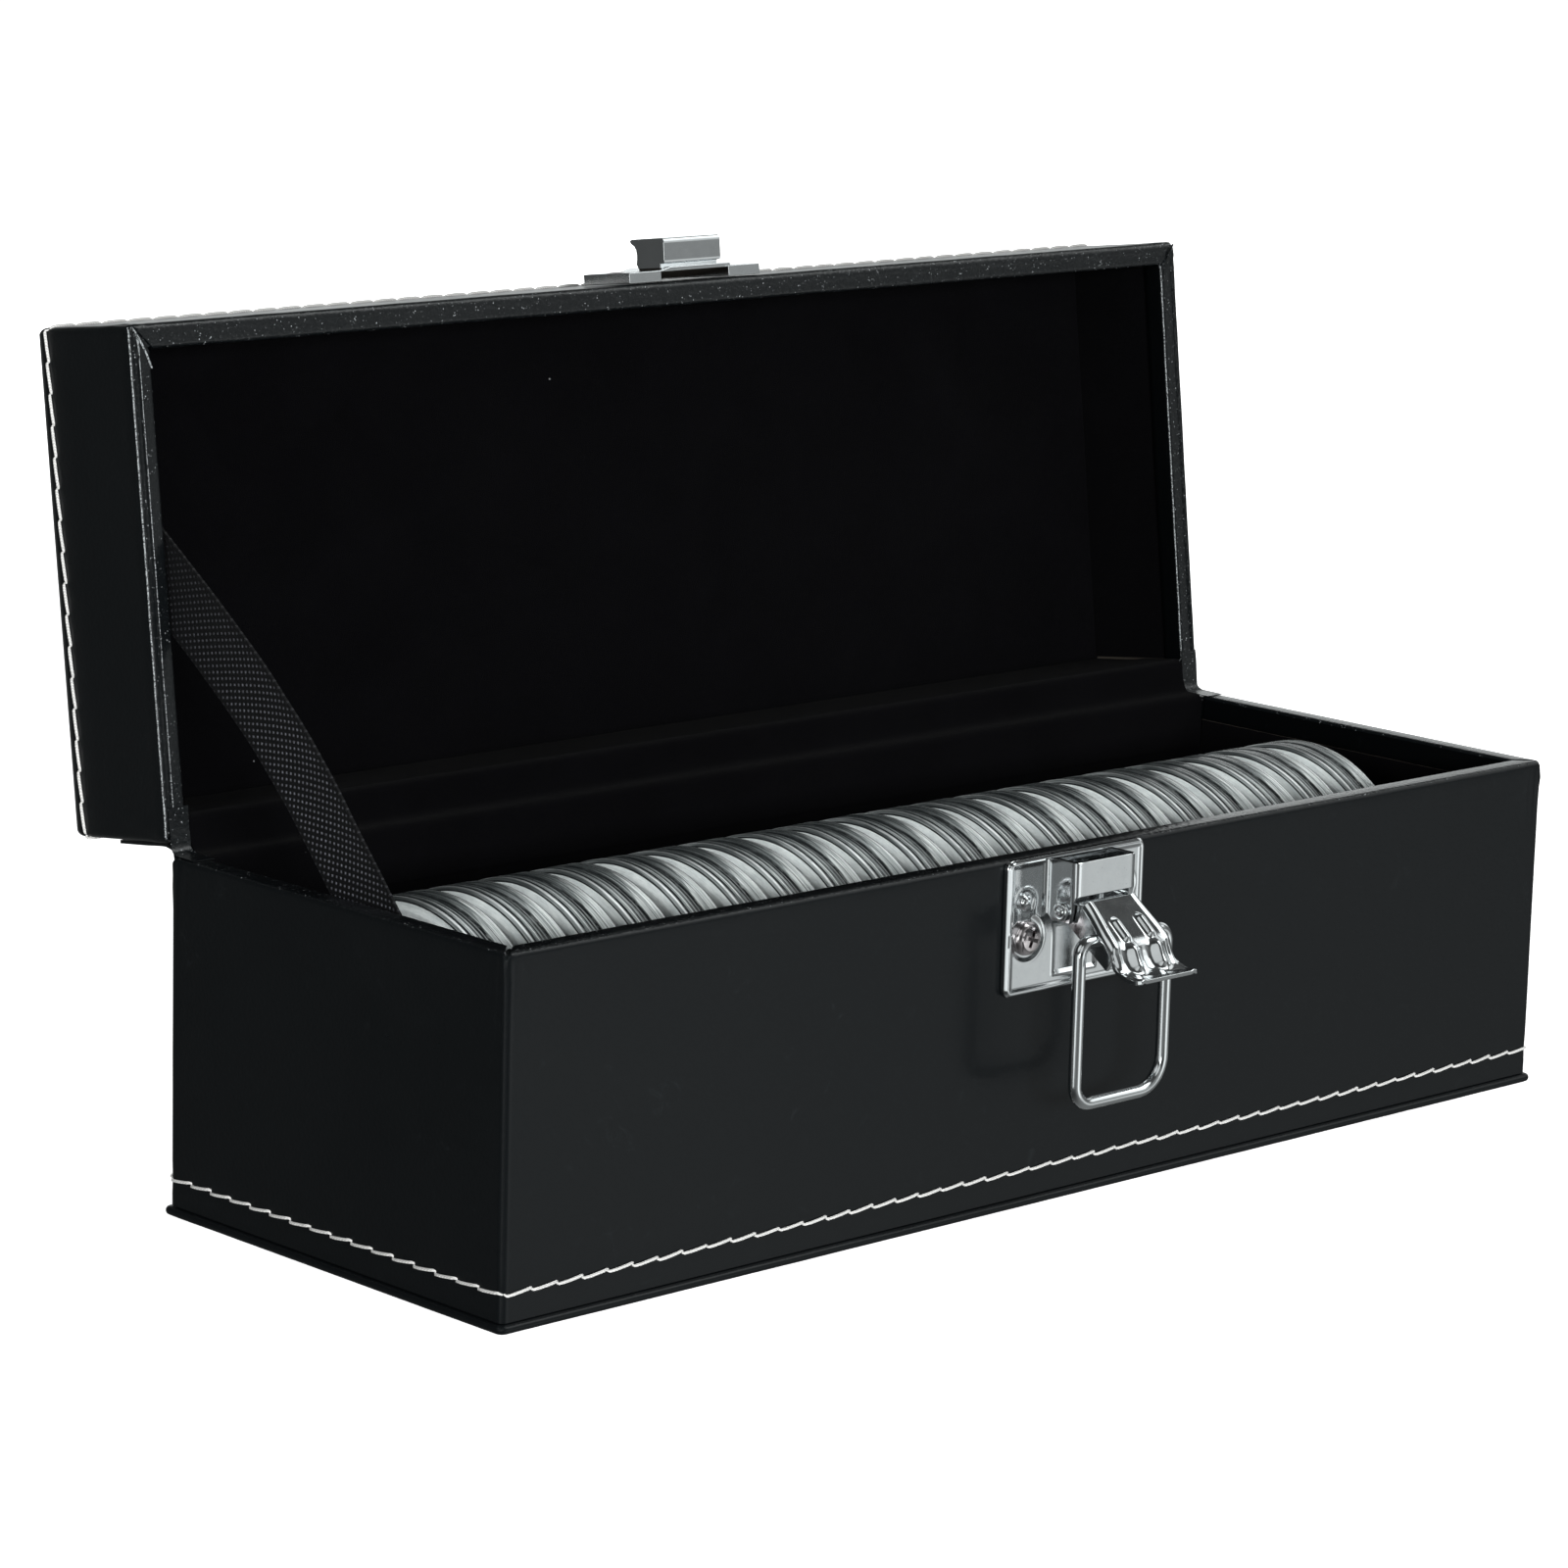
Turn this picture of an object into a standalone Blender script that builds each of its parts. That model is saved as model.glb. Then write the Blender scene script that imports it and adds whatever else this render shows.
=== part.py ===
"""A hinged, leather-covered case for twenty round plastic capsules, with a draw latch and a ribbon stay.

Frame: +X along the row of capsules, -Y towards the latch, +Z up. The origin is the middle of the underside.
Lengths are in millimetres up to add_node, which writes metres. The lid is drawn closed and turned open.
"""

import math

import bmesh
import bpy
from mathutils import Vector

for old in list(bpy.data.objects):
    bpy.data.objects.remove(old, do_unlink=True)

MM = 0.001
GAP = 0.2  # left between two pieces that touch

# the covered box
LENGTH = 235.0
WIDTH = 80.0
TRAY_TOP = 57.2
HALF_X = LENGTH / 2
HALF_Y = WIDTH / 2
CORNER = 1.2  # radius of the upright corners
SKIN = 0.5  # leather, and card with velvet
BOARD = 2.6
WALL = 4.0  # leather, board and velvet card together
BOARD_OUT = SKIN + GAP
BOARD_IN = BOARD_OUT + BOARD
LINING_OUT = WALL - SKIN
TURN_IN = 4.3  # how far the leather comes down inside the rim

# the foot that the tray stands on
FOOT_THICK = 1.4
FOOT_LIP = 0.8
TRAY_LOW = FOOT_THICK + GAP
FLOOR_BOARD = 1.4
FLOOR_TOP = TRAY_LOW + FLOOR_BOARD

# the lid, at its closed height
LID_RIM = TRAY_TOP + 0.4
LID_DEPTH = 25.5
LID_TOP = LID_RIM + LID_DEPTH
LID_EDGE = 3.0  # radius along the edges of the top panel
LID_BOARD_TOP = LID_TOP - LID_EDGE - GAP
HINGE_Y = HALF_Y + 1.0
HINGE_Z = TRAY_TOP + 0.8
LID_OPEN = math.radians(97.3)

# the capsules, which stand on edge in a slotted insert
CAPSULES = 20
CAPSULE_R = 25.9
CAPSULE_FACE_R = 24.3
CAPSULE_THICK = 8.7
CAPSULE_CHAMFER = 0.9
PITCH = 10.37
SEGMENTS = 28
RIBBON_WIDTH = 12.0
# the middle of the ribbon as (y, z), from the tray's end wall to the lid's
RIBBON_LINE = (
    (-16.0, 42.0), (-8.5, 50.2), (-1.0, 58.2), (5.5, 65.1), (11.5, 71.4),
    (17.8, 77.3), (25.5, 83.8), (33.5, 89.8), (41.5, 95.4), (49.5, 100.7), (57.5, 105.8),
)
INSERT_SHEET = 0.7
INSERT_TOP = 9.0
SLOT = CAPSULE_THICK + 0.4
CAPSULE_LOW = FLOOR_TOP + GAP + INSERT_SHEET + GAP

# the draw latch
PLATE_HALF_X = 15.5
PLATE_LOW = 35.2
PLATE_BACK = -HALF_Y - GAP
PLATE_FRONT = PLATE_BACK - 1.2
PIVOT_Y = -44.8
PIVOT_Z = 48.8
LEVER_REST = math.radians(50.0)  # from hanging straight down
HOUSING_HALF_X = 6.85
HOUSING_FRONT = -47.6
HOUSING_SHEET = 0.8
LEVER_SHEET = 0.8
LEVER_HALF_X = 6.8
LEVER_TOP_HALF_X = 5.9  # the plate is narrower by its pivot
CHEEK_OUT = 5.8
CHEEK_IN = 5.0
BAIL_ARM_DOWN = 7.5  # from the lever's pivot to the bail's, with the lever hanging
BAIL_ARM_OUT = 1.8
BAIL_LENGTH = 26.2
BAIL_HALF_X = 9.95
BAIL_SHOULDER = 2.2
BAIL_BENDS = (3.4, 5.4)  # radii at the lower left and right
WIRE_R = 1.0

BLACK_LEATHER = ("black_leather", (0.018, 0.018, 0.020, 1.0), 0.0, 0.32)
FIBREBOARD = ("fibreboard", (0.32, 0.21, 0.12, 1.0), 0.0, 0.85)
BLACK_VELVET = ("black_velvet", (0.006, 0.006, 0.007, 1.0), 0.0, 0.95)
BLACK_RIBBON = ("black_ribbon", (0.012, 0.012, 0.013, 1.0), 0.0, 0.75)
NICKEL = ("nickel", (0.72, 0.72, 0.70, 1.0), 1.0, 0.16)
CLEAR_PLASTIC = ("clear_plastic", (0.85, 0.88, 0.88, 0.35), 0.0, 0.08)


def material(finish):
    """The shared material for a finish, made the first time it is asked for."""
    name, colour, metallic, roughness = finish
    found = bpy.data.materials.get(name)
    if found:
        return found
    made = bpy.data.materials.new(name)
    made.use_nodes = True
    shader = made.node_tree.nodes["Principled BSDF"]
    shader.inputs["Base Color"].default_value = colour
    shader.inputs["Metallic"].default_value = metallic
    shader.inputs["Roughness"].default_value = roughness
    shader.inputs["Alpha"].default_value = colour[3]
    return made


def add_node(name, points, faces, finish, origin=(0, 0, 0), turn=0.0, smooth=False):
    """One solid: points in millimetres measured in the frame that turns about X through origin."""
    mesh = bpy.data.meshes.new(name)
    start = Vector(origin)
    mesh.from_pydata([(Vector(p) - start) * MM for p in points], [], faces)
    bm = bmesh.new()
    bm.from_mesh(mesh)
    bmesh.ops.recalc_face_normals(bm, faces=bm.faces)
    bm.to_mesh(mesh)
    bm.free()
    mesh.materials.append(material(finish))
    for face in mesh.polygons:
        face.use_smooth = smooth
    made = bpy.data.objects.new(name, mesh)
    made.location = start * MM
    made.rotation_euler = (turn, 0.0, 0.0)
    bpy.context.scene.collection.objects.link(made)
    return made


def box(low, high):
    """The points and faces of an upright box."""
    (x0, y0, z0), (x1, y1, z1) = low, high
    points = [(x, y, z) for z in (z0, z1) for x, y in ((x0, y0), (x1, y0), (x1, y1), (x0, y1))]
    faces = [(3, 2, 1, 0), (4, 5, 6, 7)]
    faces += [(i, (i + 1) % 4, 4 + (i + 1) % 4, 4 + i) for i in range(4)]
    return points, faces


def box_union(boxes, holes=()):
    """The outside of some boxes less some others, as one closed surface on the grid that their sides make."""
    cuts = [sorted({b[end][axis] for b in (*boxes, *holes) for end in (0, 1)}) for axis in range(3)]

    def inside(block, middle):
        return all(block[0][a] < middle[a] < block[1][a] for a in range(3))

    def filled(cell):
        if any(not 0 <= cell[a] < len(cuts[a]) - 1 for a in range(3)):
            return False
        middle = [(cuts[a][cell[a]] + cuts[a][cell[a] + 1]) / 2 for a in range(3)]
        return any(inside(b, middle) for b in boxes) and not any(inside(b, middle) for b in holes)

    index = {}
    faces = []
    for i in range(len(cuts[0]) - 1):
        for j in range(len(cuts[1]) - 1):
            for k in range(len(cuts[2]) - 1):
                cell = (i, j, k)
                if not filled(cell):
                    continue
                for axis in range(3):
                    for side in (0, 1):
                        beyond = list(cell)
                        beyond[axis] += 2 * side - 1
                        if filled(beyond):
                            continue
                        u, v = (axis + 1) % 3, (axis + 2) % 3
                        ring = []
                        for du, dv in ((0, 0), (1, 0), (1, 1), (0, 1)):
                            corner = list(cell)
                            corner[axis] += side
                            corner[u] += du
                            corner[v] += dv
                            ring.append(index.setdefault(tuple(corner), len(index)))
                        faces.append(tuple(ring if side else reversed(ring)))
    points = [tuple(cuts[a][corner[a]] for a in range(3)) for corner in index]
    return points, faces


def rounded_rectangle(half_x, half_y, radius, steps=4):
    """The outline of a rectangle with rounded corners, anticlockwise from above."""
    outline = []
    for corner, (sx, sy) in enumerate(((1, -1), (1, 1), (-1, 1), (-1, -1))):
        start = math.radians(90 * corner - 90)
        for step in range(steps + 1):
            angle = start + math.radians(90) * step / steps
            x = sx * (half_x - radius) + radius * math.cos(angle)
            y = sy * (half_y - radius) + radius * math.sin(angle)
            outline.append((x, y))
    return outline


def loft(loops, closed):
    """Joins loops of equal length in turn, and either back to the first or with a flat cap at each end."""
    count = len(loops[0])
    points = [p for loop in loops for p in loop]
    faces = []
    for n in range(len(loops) if closed else len(loops) - 1):
        here = n * count
        there = (n + 1) % len(loops) * count
        for i in range(count):
            j = (i + 1) % count
            faces.append((here + i, here + j, there + j, there + i))
    if not closed:
        last = (len(loops) - 1) * count
        faces.append(tuple(reversed(range(count))))
        faces.append(tuple(range(last, last + count)))
    return points, faces


def around_the_box(profile, closed):
    """Carries a profile of (distance in from the outside, height) round the four sides."""
    loops = []
    for inset, z in profile:
        radius = max(CORNER - inset, 0.3)
        outline = rounded_rectangle(HALF_X - inset, HALF_Y - inset, radius)
        loops.append([(x, y, z) for x, y in outline])
    return loft(loops, closed)


def prism_along_x(outline, x0, x1):
    """A solid with one (y, z) outline all the way from x0 to x1."""
    return loft([[(x, y, z) for y, z in outline] for x in (x0, x1)], closed=False)


def revolve_about_x(profile, centre_y, centre_z, segments):
    """A solid of revolution from (x, radius) pairs, with a flat face at each end."""
    loops = []
    for x, radius in profile:
        ring = []
        for step in range(segments):
            angle = 2 * math.pi * step / segments
            ring.append((x, centre_y + radius * math.cos(angle), centre_z + radius * math.sin(angle)))
        loops.append(ring)
    return loft(loops, closed=False)


def revolve_about_y(profile, centre_x, centre_z, segments):
    """A solid of revolution from (y, radius) pairs, with a flat face at each end."""
    loops = []
    for y, radius in profile:
        ring = []
        for step in range(segments):
            angle = 2 * math.pi * step / segments
            ring.append((centre_x + radius * math.cos(angle), y, centre_z + radius * math.sin(angle)))
        loops.append(ring)
    return loft(loops, closed=False)


def round_bar(path, radius, segments):
    """A round bar along a path that lies in a plane of constant y."""
    loops = []
    for n, here in enumerate(path):
        before = Vector(path[max(n - 1, 0)])
        after = Vector(path[min(n + 1, len(path) - 1)])
        along = (after - before).normalized()
        across = Vector((0, 1, 0))
        other = along.cross(across)
        ring = []
        for step in range(segments):
            angle = 2 * math.pi * step / segments
            ring.append(Vector(here) + radius * (math.cos(angle) * across + math.sin(angle) * other))
        loops.append([tuple(p) for p in ring])
    return loft(loops, closed=False)


def turned(y, z, angle, centre_y, centre_z):
    """A point turned about the X axis through a centre, positive from +Y towards +Z."""
    dy, dz = y - centre_y, z - centre_z
    return (
        centre_y + dy * math.cos(angle) - dz * math.sin(angle),
        centre_z + dy * math.sin(angle) + dz * math.cos(angle),
    )


def opened(y, z):
    """Where a point of the closed lid is once the lid is open."""
    return turned(y, z, -LID_OPEN, HINGE_Y, HINGE_Z)


def add_lid_node(name, shape, finish):
    """A piece drawn on the closed lid, with its origin on the hinge axis, turned open."""
    return add_node(name, *shape, finish, origin=(0, HINGE_Y, HINGE_Z), turn=-LID_OPEN)


def four_boards(inset_out, inset_in, low, high):
    """Front, back, left and right boards that meet at butt joints, as (name, shape) pairs."""
    x_out, x_in = HALF_X - inset_out, HALF_X - inset_in
    y_out, y_in = HALF_Y - inset_out, HALF_Y - inset_in
    y_end = y_in - GAP
    return [
        ("front", box((-x_out, -y_out, low), (x_out, -y_in, high))),
        ("back", box((-x_out, y_in, low), (x_out, y_out, high))),
        ("left", box((-x_out, -y_end, low), (-x_in, y_end, high))),
        ("right", box((x_in, -y_end, low), (x_out, y_end, high))),
    ]


def build_tray():
    """The foot, the boards, the leather that wraps them and the velvet inside."""
    foot_x, foot_y = HALF_X + FOOT_LIP, HALF_Y + FOOT_LIP
    foot = [
        [(x, y, z) for x, y in rounded_rectangle(foot_x - trim, foot_y - trim, 3.0 - trim)]
        for trim, z in ((0.3, 0.0), (0.0, 0.3), (0.0, FOOT_THICK - 0.3), (0.3, FOOT_THICK))
    ]
    add_node("foot_panel", *loft(foot, closed=False), BLACK_LEATHER)
    floor_x, floor_y = HALF_X - LINING_OUT - GAP, HALF_Y - LINING_OUT - GAP
    floor = box((-floor_x, -floor_y, TRAY_LOW), (floor_x, floor_y, FLOOR_TOP))
    add_node("floor_board", *floor, FIBREBOARD)
    for side, shape in four_boards(BOARD_OUT, BOARD_IN, TRAY_LOW, TRAY_TOP - SKIN - GAP):
        add_node(f"tray_board_{side}", *shape, FIBREBOARD)
    turn_low = TRAY_TOP - TURN_IN
    leather = [
        (0.0, TRAY_LOW),
        (0.0, TRAY_TOP - 0.6),
        (0.18, TRAY_TOP - 0.18),
        (0.6, TRAY_TOP),
        (WALL - 0.5, TRAY_TOP),
        (WALL - 0.12, TRAY_TOP - 0.15),
        (WALL, TRAY_TOP - 0.5),
        (WALL, turn_low),
        (LINING_OUT, turn_low),
        (LINING_OUT, TRAY_TOP - SKIN),
        (SKIN, TRAY_TOP - SKIN),
        (SKIN, TRAY_LOW),
    ]
    add_node("tray_leather", *around_the_box(leather, closed=True), BLACK_LEATHER)
    lining_low = FLOOR_TOP + GAP
    for side, shape in four_boards(LINING_OUT, WALL, lining_low, turn_low - GAP):
        add_node(f"tray_lining_{side}", *shape, BLACK_VELVET)


def build_insert():
    """A thin sheet with low ribs, one on each side of every capsule."""
    end_x, end_y = HALF_X - WALL - GAP, HALF_Y - WALL - GAP
    low = FLOOR_TOP + GAP
    sheet_top = low + INSERT_SHEET
    solids = [((-end_x, -end_y, low), (end_x, end_y, sheet_top))]
    for n in range(CAPSULES + 1):
        middle = (n - CAPSULES / 2) * PITCH
        half = (PITCH - SLOT) / 2
        solids.append(((middle - half, -end_y, low), (middle + half, end_y, INSERT_TOP)))
    add_node("slotted_insert", *box_union(solids), BLACK_VELVET)


def build_capsules():
    """Snap-together clear discs, each its own piece, standing on edge."""
    half = CAPSULE_THICK / 2
    centre_z = CAPSULE_LOW + CAPSULE_R
    for n in range(CAPSULES):
        middle = (n - (CAPSULES - 1) / 2) * PITCH
        profile = [
            (middle - half, CAPSULE_FACE_R),
            (middle - half + CAPSULE_CHAMFER, CAPSULE_R),
            (middle + half - CAPSULE_CHAMFER, CAPSULE_R),
            (middle + half, CAPSULE_FACE_R),
        ]
        shape = revolve_about_x(profile, 0.0, centre_z, SEGMENTS)
        name = f"capsule_{n + 1:02d}"
        disc = add_node(name, *shape, CLEAR_PLASTIC, origin=(middle, 0, centre_z), smooth=True)
        for face in disc.data.polygons:
            face.use_smooth = len(face.vertices) == 4


def build_lid():
    """The lid's boards, leather and velvet."""
    for side, shape in four_boards(BOARD_OUT, BOARD_IN, LID_RIM + SKIN + GAP, LID_BOARD_TOP):
        add_lid_node(f"lid_board_{side}", shape, FIBREBOARD)
    panel = [
        (0.9, LID_BOARD_TOP + GAP),
        (0.9, LID_BOARD_TOP + 1.0),
        (2.6, LID_BOARD_TOP + 2.4),
    ]
    add_lid_node("lid_top_board", around_the_box(panel, closed=False), FIBREBOARD)
    turn_high = LID_RIM + TURN_IN
    leather = [
        (LID_EDGE, LID_TOP - SKIN),
        (1.75, LID_TOP - 0.83),
        (0.83, LID_TOP - 1.75),
        (SKIN, LID_TOP - LID_EDGE),
        (SKIN, LID_RIM + SKIN),
        (LINING_OUT, LID_RIM + SKIN),
        (LINING_OUT, turn_high),
        (WALL, turn_high),
        (WALL, LID_RIM + 0.5),
        (WALL - 0.12, LID_RIM + 0.15),
        (WALL - 0.5, LID_RIM),
        (0.6, LID_RIM),
        (0.18, LID_RIM + 0.18),
        (0.0, LID_RIM + 0.6),
        (0.0, LID_TOP - LID_EDGE),
        (0.23, LID_TOP - 1.85),
        (0.88, LID_TOP - 0.88),
        (1.85, LID_TOP - 0.23),
        (LID_EDGE, LID_TOP),
    ]
    add_lid_node("lid_leather", around_the_box(leather, closed=False), BLACK_LEATHER)
    for side, shape in four_boards(LINING_OUT, WALL, turn_high + GAP, LID_BOARD_TOP):
        add_lid_node(f"lid_lining_{side}", shape, BLACK_VELVET)
    end_x, end_y = HALF_X - WALL - GAP, HALF_Y - WALL - GAP
    ceiling = box((-end_x, -end_y, LID_BOARD_TOP - 0.7), (end_x, end_y, LID_BOARD_TOP))
    add_lid_node("lid_lining_top", ceiling, BLACK_VELVET)


def build_hinge_and_stay():
    """The leather strip down the back that the lid turns on, the lining over it, and the ribbon that stops the lid."""
    near, far = HALF_Y + GAP, HALF_Y + GAP + 0.6
    strip = [
        (near, TRAY_TOP - 14.0),
        (far, TRAY_TOP - 14.0),
        (far, TRAY_TOP + 0.1),
        opened(far, LID_RIM + 0.7),
        opened(far, LID_RIM + 14.0),
        opened(near, LID_RIM + 14.0),
        opened(near, LID_RIM + 0.7),
        (near, TRAY_TOP + 0.7),
    ]
    add_node("hinge_leather", *prism_along_x(strip, -HALF_X + 0.3, HALF_X - 0.3), BLACK_LEATHER)
    inner = HALF_Y - WALL
    thick = 0.4
    lining = [
        (inner - GAP, TRAY_TOP - 9.0),
        (inner - GAP, TRAY_TOP + GAP),
        (HALF_Y - 0.1, TRAY_TOP + GAP),
        (HALF_Y, TRAY_TOP + 1.0),
        opened(HALF_Y, LID_RIM - GAP),
        opened(inner - GAP, LID_RIM - GAP),
        opened(inner - GAP, LID_RIM + 9.0),
        opened(inner - GAP - thick, LID_RIM + 9.0),
        opened(inner - GAP - thick, LID_RIM - GAP - thick),
        opened(HALF_Y - 0.3, LID_RIM - GAP - thick),
        (HALF_Y - 0.35, TRAY_TOP + 1.2),
        (HALF_Y - 0.45, TRAY_TOP + GAP + thick),
        (inner - GAP - thick, TRAY_TOP + GAP + thick),
        (inner - GAP - thick, TRAY_TOP - 9.0),
    ]
    end = HALF_X - WALL - 0.3
    add_node("hinge_lining", *prism_along_x(lining, -end, end), BLACK_VELVET)
    edges = [[], []]
    for n, here in enumerate(RIBBON_LINE):
        before = Vector(RIBBON_LINE[max(n - 1, 0)])
        after = Vector(RIBBON_LINE[min(n + 1, len(RIBBON_LINE) - 1)])
        along = (after - before).normalized()
        across = Vector((-along.y, along.x)) * RIBBON_WIDTH / 2
        for edge, side in zip(edges, (-1, 1)):
            edge.append(tuple(Vector(here) + side * across))
    x_near = -HALF_X + WALL + 0.3
    ribbon = prism_along_x(edges[0] + edges[1][::-1], x_near, x_near + 0.6)
    add_node("ribbon_stay", *ribbon, BLACK_RIBBON)


def build_lid_catch():
    """The pressed plate on the lid's front, bridged in the middle, with the hook that the bail drops over."""
    face = -HALF_Y - GAP
    outer = face - 1.8
    bridge = -42.5
    leg_in, leg_out = 7.6, 14.7
    plate_low, plate_high = LID_RIM + 0.3, LID_RIM + 11.9
    solids = [
        ((-leg_out, outer, plate_low), (leg_out, face, plate_high)),
        ((-leg_in, bridge, LID_RIM + 0.8), (leg_in + 0.9, outer + 0.4, plate_high)),
        ((-5.4, -43.1, LID_RIM + 2.2), (6.6, bridge, LID_RIM + 7.8)),
        ((-6.0, -46.2, LID_RIM + 1.2), (6.8, -43.1, LID_RIM + 8.2)),
        ((-6.0, -47.3, LID_RIM + 1.2), (6.8, -46.2, LID_RIM + 9.7)),
    ]
    notch = [((-leg_in, outer + 0.4, plate_low), (leg_in, face, LID_RIM + 3.3))]
    notch.append(((-leg_in, outer, plate_low), (leg_in, face, LID_RIM + 0.8)))
    catch = box_union(solids, notch)
    add_lid_node("lid_catch", catch, NICKEL)
    for side, x in (("left", -11.2), ("right", 11.2)):
        profile = [(outer - GAP, 1.7), (outer - GAP - 0.4, 1.6), (outer - GAP - 0.8, 0.9)]
        head = revolve_about_y(profile, x, LID_RIM + 7.6, 12)
        add_lid_node(f"catch_screw_{side}", head, NICKEL)


def build_latch_base():
    """The plate on the tray's front, its screws and rivets, and the housing that carries the lever."""
    chamfer = 0.5
    outlines = []
    for trim, y in ((0.0, PLATE_BACK), (0.0, PLATE_FRONT + chamfer), (chamfer, PLATE_FRONT)):
        half_z = (TRAY_TOP - PLATE_LOW) / 2
        middle_z = (TRAY_TOP + PLATE_LOW) / 2
        flat = rounded_rectangle(PLATE_HALF_X - trim, half_z - trim, 1.2 - trim / 2, steps=3)
        outlines.append([(x, y, middle_z + z) for x, z in flat])
    add_node("latch_plate", *loft(outlines, closed=False), NICKEL)
    for side, sign in (("left", -1), ("right", 1)):
        start = PLATE_FRONT - GAP
        screw = [(start, 2.9), (start - 0.5, 2.9), (start - 1.2, 2.2), (start - 1.5, 1.1)]
        add_node(f"latch_screw_{side}", *revolve_about_y(screw, sign * 10.9, 44.4, 16), NICKEL)
        rivet = [(start, 1.1), (start - 0.5, 1.0), (start - 0.8, 0.5)]
        add_node(f"latch_rivet_{side}", *revolve_about_y(rivet, sign * 11.4, 50.2, 10), NICKEL)
    back = PLATE_FRONT - GAP
    inner_x = HOUSING_HALF_X - HOUSING_SHEET
    front_in = HOUSING_FRONT + HOUSING_SHEET
    walls = [
        ((-HOUSING_HALF_X, HOUSING_FRONT, 51.4), (HOUSING_HALF_X, front_in, 57.0)),
        ((-HOUSING_HALF_X, HOUSING_FRONT, 47.0), (-inner_x, back, 57.0)),
        ((inner_x, HOUSING_FRONT, 47.0), (HOUSING_HALF_X, back, 57.0)),
    ]
    bore = 1.15
    bores = [((-HOUSING_HALF_X, PIVOT_Y - bore, PIVOT_Z - bore), (HOUSING_HALF_X, PIVOT_Y + bore, PIVOT_Z + bore))]
    add_node("latch_housing", *box_union(walls, bores), NICKEL)
    head_in, head_out = HOUSING_HALF_X + 0.15, HOUSING_HALF_X + 0.75
    pin = [(-head_out, 1.1), (-head_in, 1.5), (-head_in, 0.9), (head_in, 0.9), (head_in, 1.5), (head_out, 1.1)]
    add_node("lever_pin", *revolve_about_x(pin, PIVOT_Y, PIVOT_Z, 14), NICKEL)


def helper(name, points, faces, origin=(0, 0, 0), turn=0.0):
    """A solid that only shapes another one."""
    made = add_node(name, points, faces, NICKEL, origin, turn)
    made.hide_render = True
    made.display_type = "WIRE"
    return made


def combine(target, other, operation):
    """Adds an exact Boolean to a solid."""
    step = target.modifiers.new(other.name, "BOOLEAN")
    step.operation = operation
    step.solver = "EXACT"
    step.object = other


def build_lever():
    """The thumb lever: a bent plate with a curled lip and two cheeks that carry the pin and the bail."""
    pivot = (0.0, PIVOT_Y, PIVOT_Z)
    # how far down the hanging lever, and how far out from the pivot, along its outer face
    face = [(1.7, 4.1), (10.1, 4.1), (11.8, 3.8), (13.4, 3.0), (15.2, 2.6), (16.8, 3.4), (18.0, 4.8)]
    inner = [(down + 0.1, out - LEVER_SHEET) for down, out in face[:-1]]
    inner.append((face[-1][0] + 0.65, face[-1][1] - 0.5))
    outline = [(PIVOT_Y - out, PIVOT_Z - down) for down, out in face + inner[::-1]]
    sides = []
    for sign in (-1, 1):
        side = []
        for (down, _), (y, z) in zip(face + inner[::-1], outline):
            taper = min(max((down - face[0][0]) / (face[1][0] - face[0][0]), 0.0), 1.0)
            side.append((sign * (LEVER_TOP_HALF_X + (LEVER_HALF_X - LEVER_TOP_HALF_X) * taper), y, z))
        sides.append(side)
    plate = loft(sides, closed=False)
    lever = add_node("latch_lever", *plate, NICKEL, origin=pivot, turn=-LEVER_REST)
    cheek = [(-1.3, 0.9), (-1.7, -0.4), (-0.6, -1.7), (1.0, -1.7), (12.0, -0.6), (10.4, 3.7), (2.2, 3.7)]
    for side, sign in (("left", -1), ("right", 1)):
        ends = sorted((sign * CHEEK_IN, sign * CHEEK_OUT))
        shape = prism_along_x([(PIVOT_Y - out, PIVOT_Z - down) for down, out in cheek], *ends)
        combine(lever, helper(f"cheek_{side}", *shape, pivot, -LEVER_REST), "UNION")
    bail_y, bail_z = PIVOT_Y - BAIL_ARM_OUT, PIVOT_Z - BAIL_ARM_DOWN
    for name, y, z, radius in (("pin", PIVOT_Y, PIVOT_Z, 1.1), ("bail", bail_y, bail_z, WIRE_R + 0.2)):
        shape = revolve_about_x([(-9.0, radius), (9.0, radius)], y, z, 12)
        combine(lever, helper(f"{name}_bore", *shape, pivot, -LEVER_REST), "DIFFERENCE")


def bail_side(bend, steps=5):
    """Half of the bail's middle line, as (x, height) from the pivot, ending where the foot begins."""
    half = [(4.6, 0.0), (7.6, 0.0)]
    for step in range(1, steps + 1):
        angle = math.radians(90) * step / steps
        x = BAIL_HALF_X - BAIL_SHOULDER + BAIL_SHOULDER * math.sin(angle)
        half.append((x, -BAIL_SHOULDER + BAIL_SHOULDER * math.cos(angle)))
    for step in range(steps + 1):
        angle = math.radians(90) * step / steps
        x = BAIL_HALF_X - bend + bend * math.cos(angle)
        half.append((x, -BAIL_LENGTH + bend - bend * math.sin(angle)))
    return half


def build_bail():
    """The wire loop that hangs from the lever."""
    pivot_y, pivot_z = turned(PIVOT_Y - BAIL_ARM_OUT, PIVOT_Z - BAIL_ARM_DOWN, -LEVER_REST, PIVOT_Y, PIVOT_Z)
    left, right = (bail_side(bend) for bend in BAIL_BENDS)
    path = [(-x, pivot_y, pivot_z + z) for x, z in left] + [(x, pivot_y, pivot_z + z) for x, z in right[::-1]]
    shape = round_bar(path, WIRE_R, 10)
    add_node("bail_wire", *shape, NICKEL, origin=(0, pivot_y, pivot_z), smooth=True)


build_tray()
build_insert()
build_capsules()
build_lid()
build_hinge_and_stay()
build_lid_catch()
build_latch_base()
build_lever()
build_bail()
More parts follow.
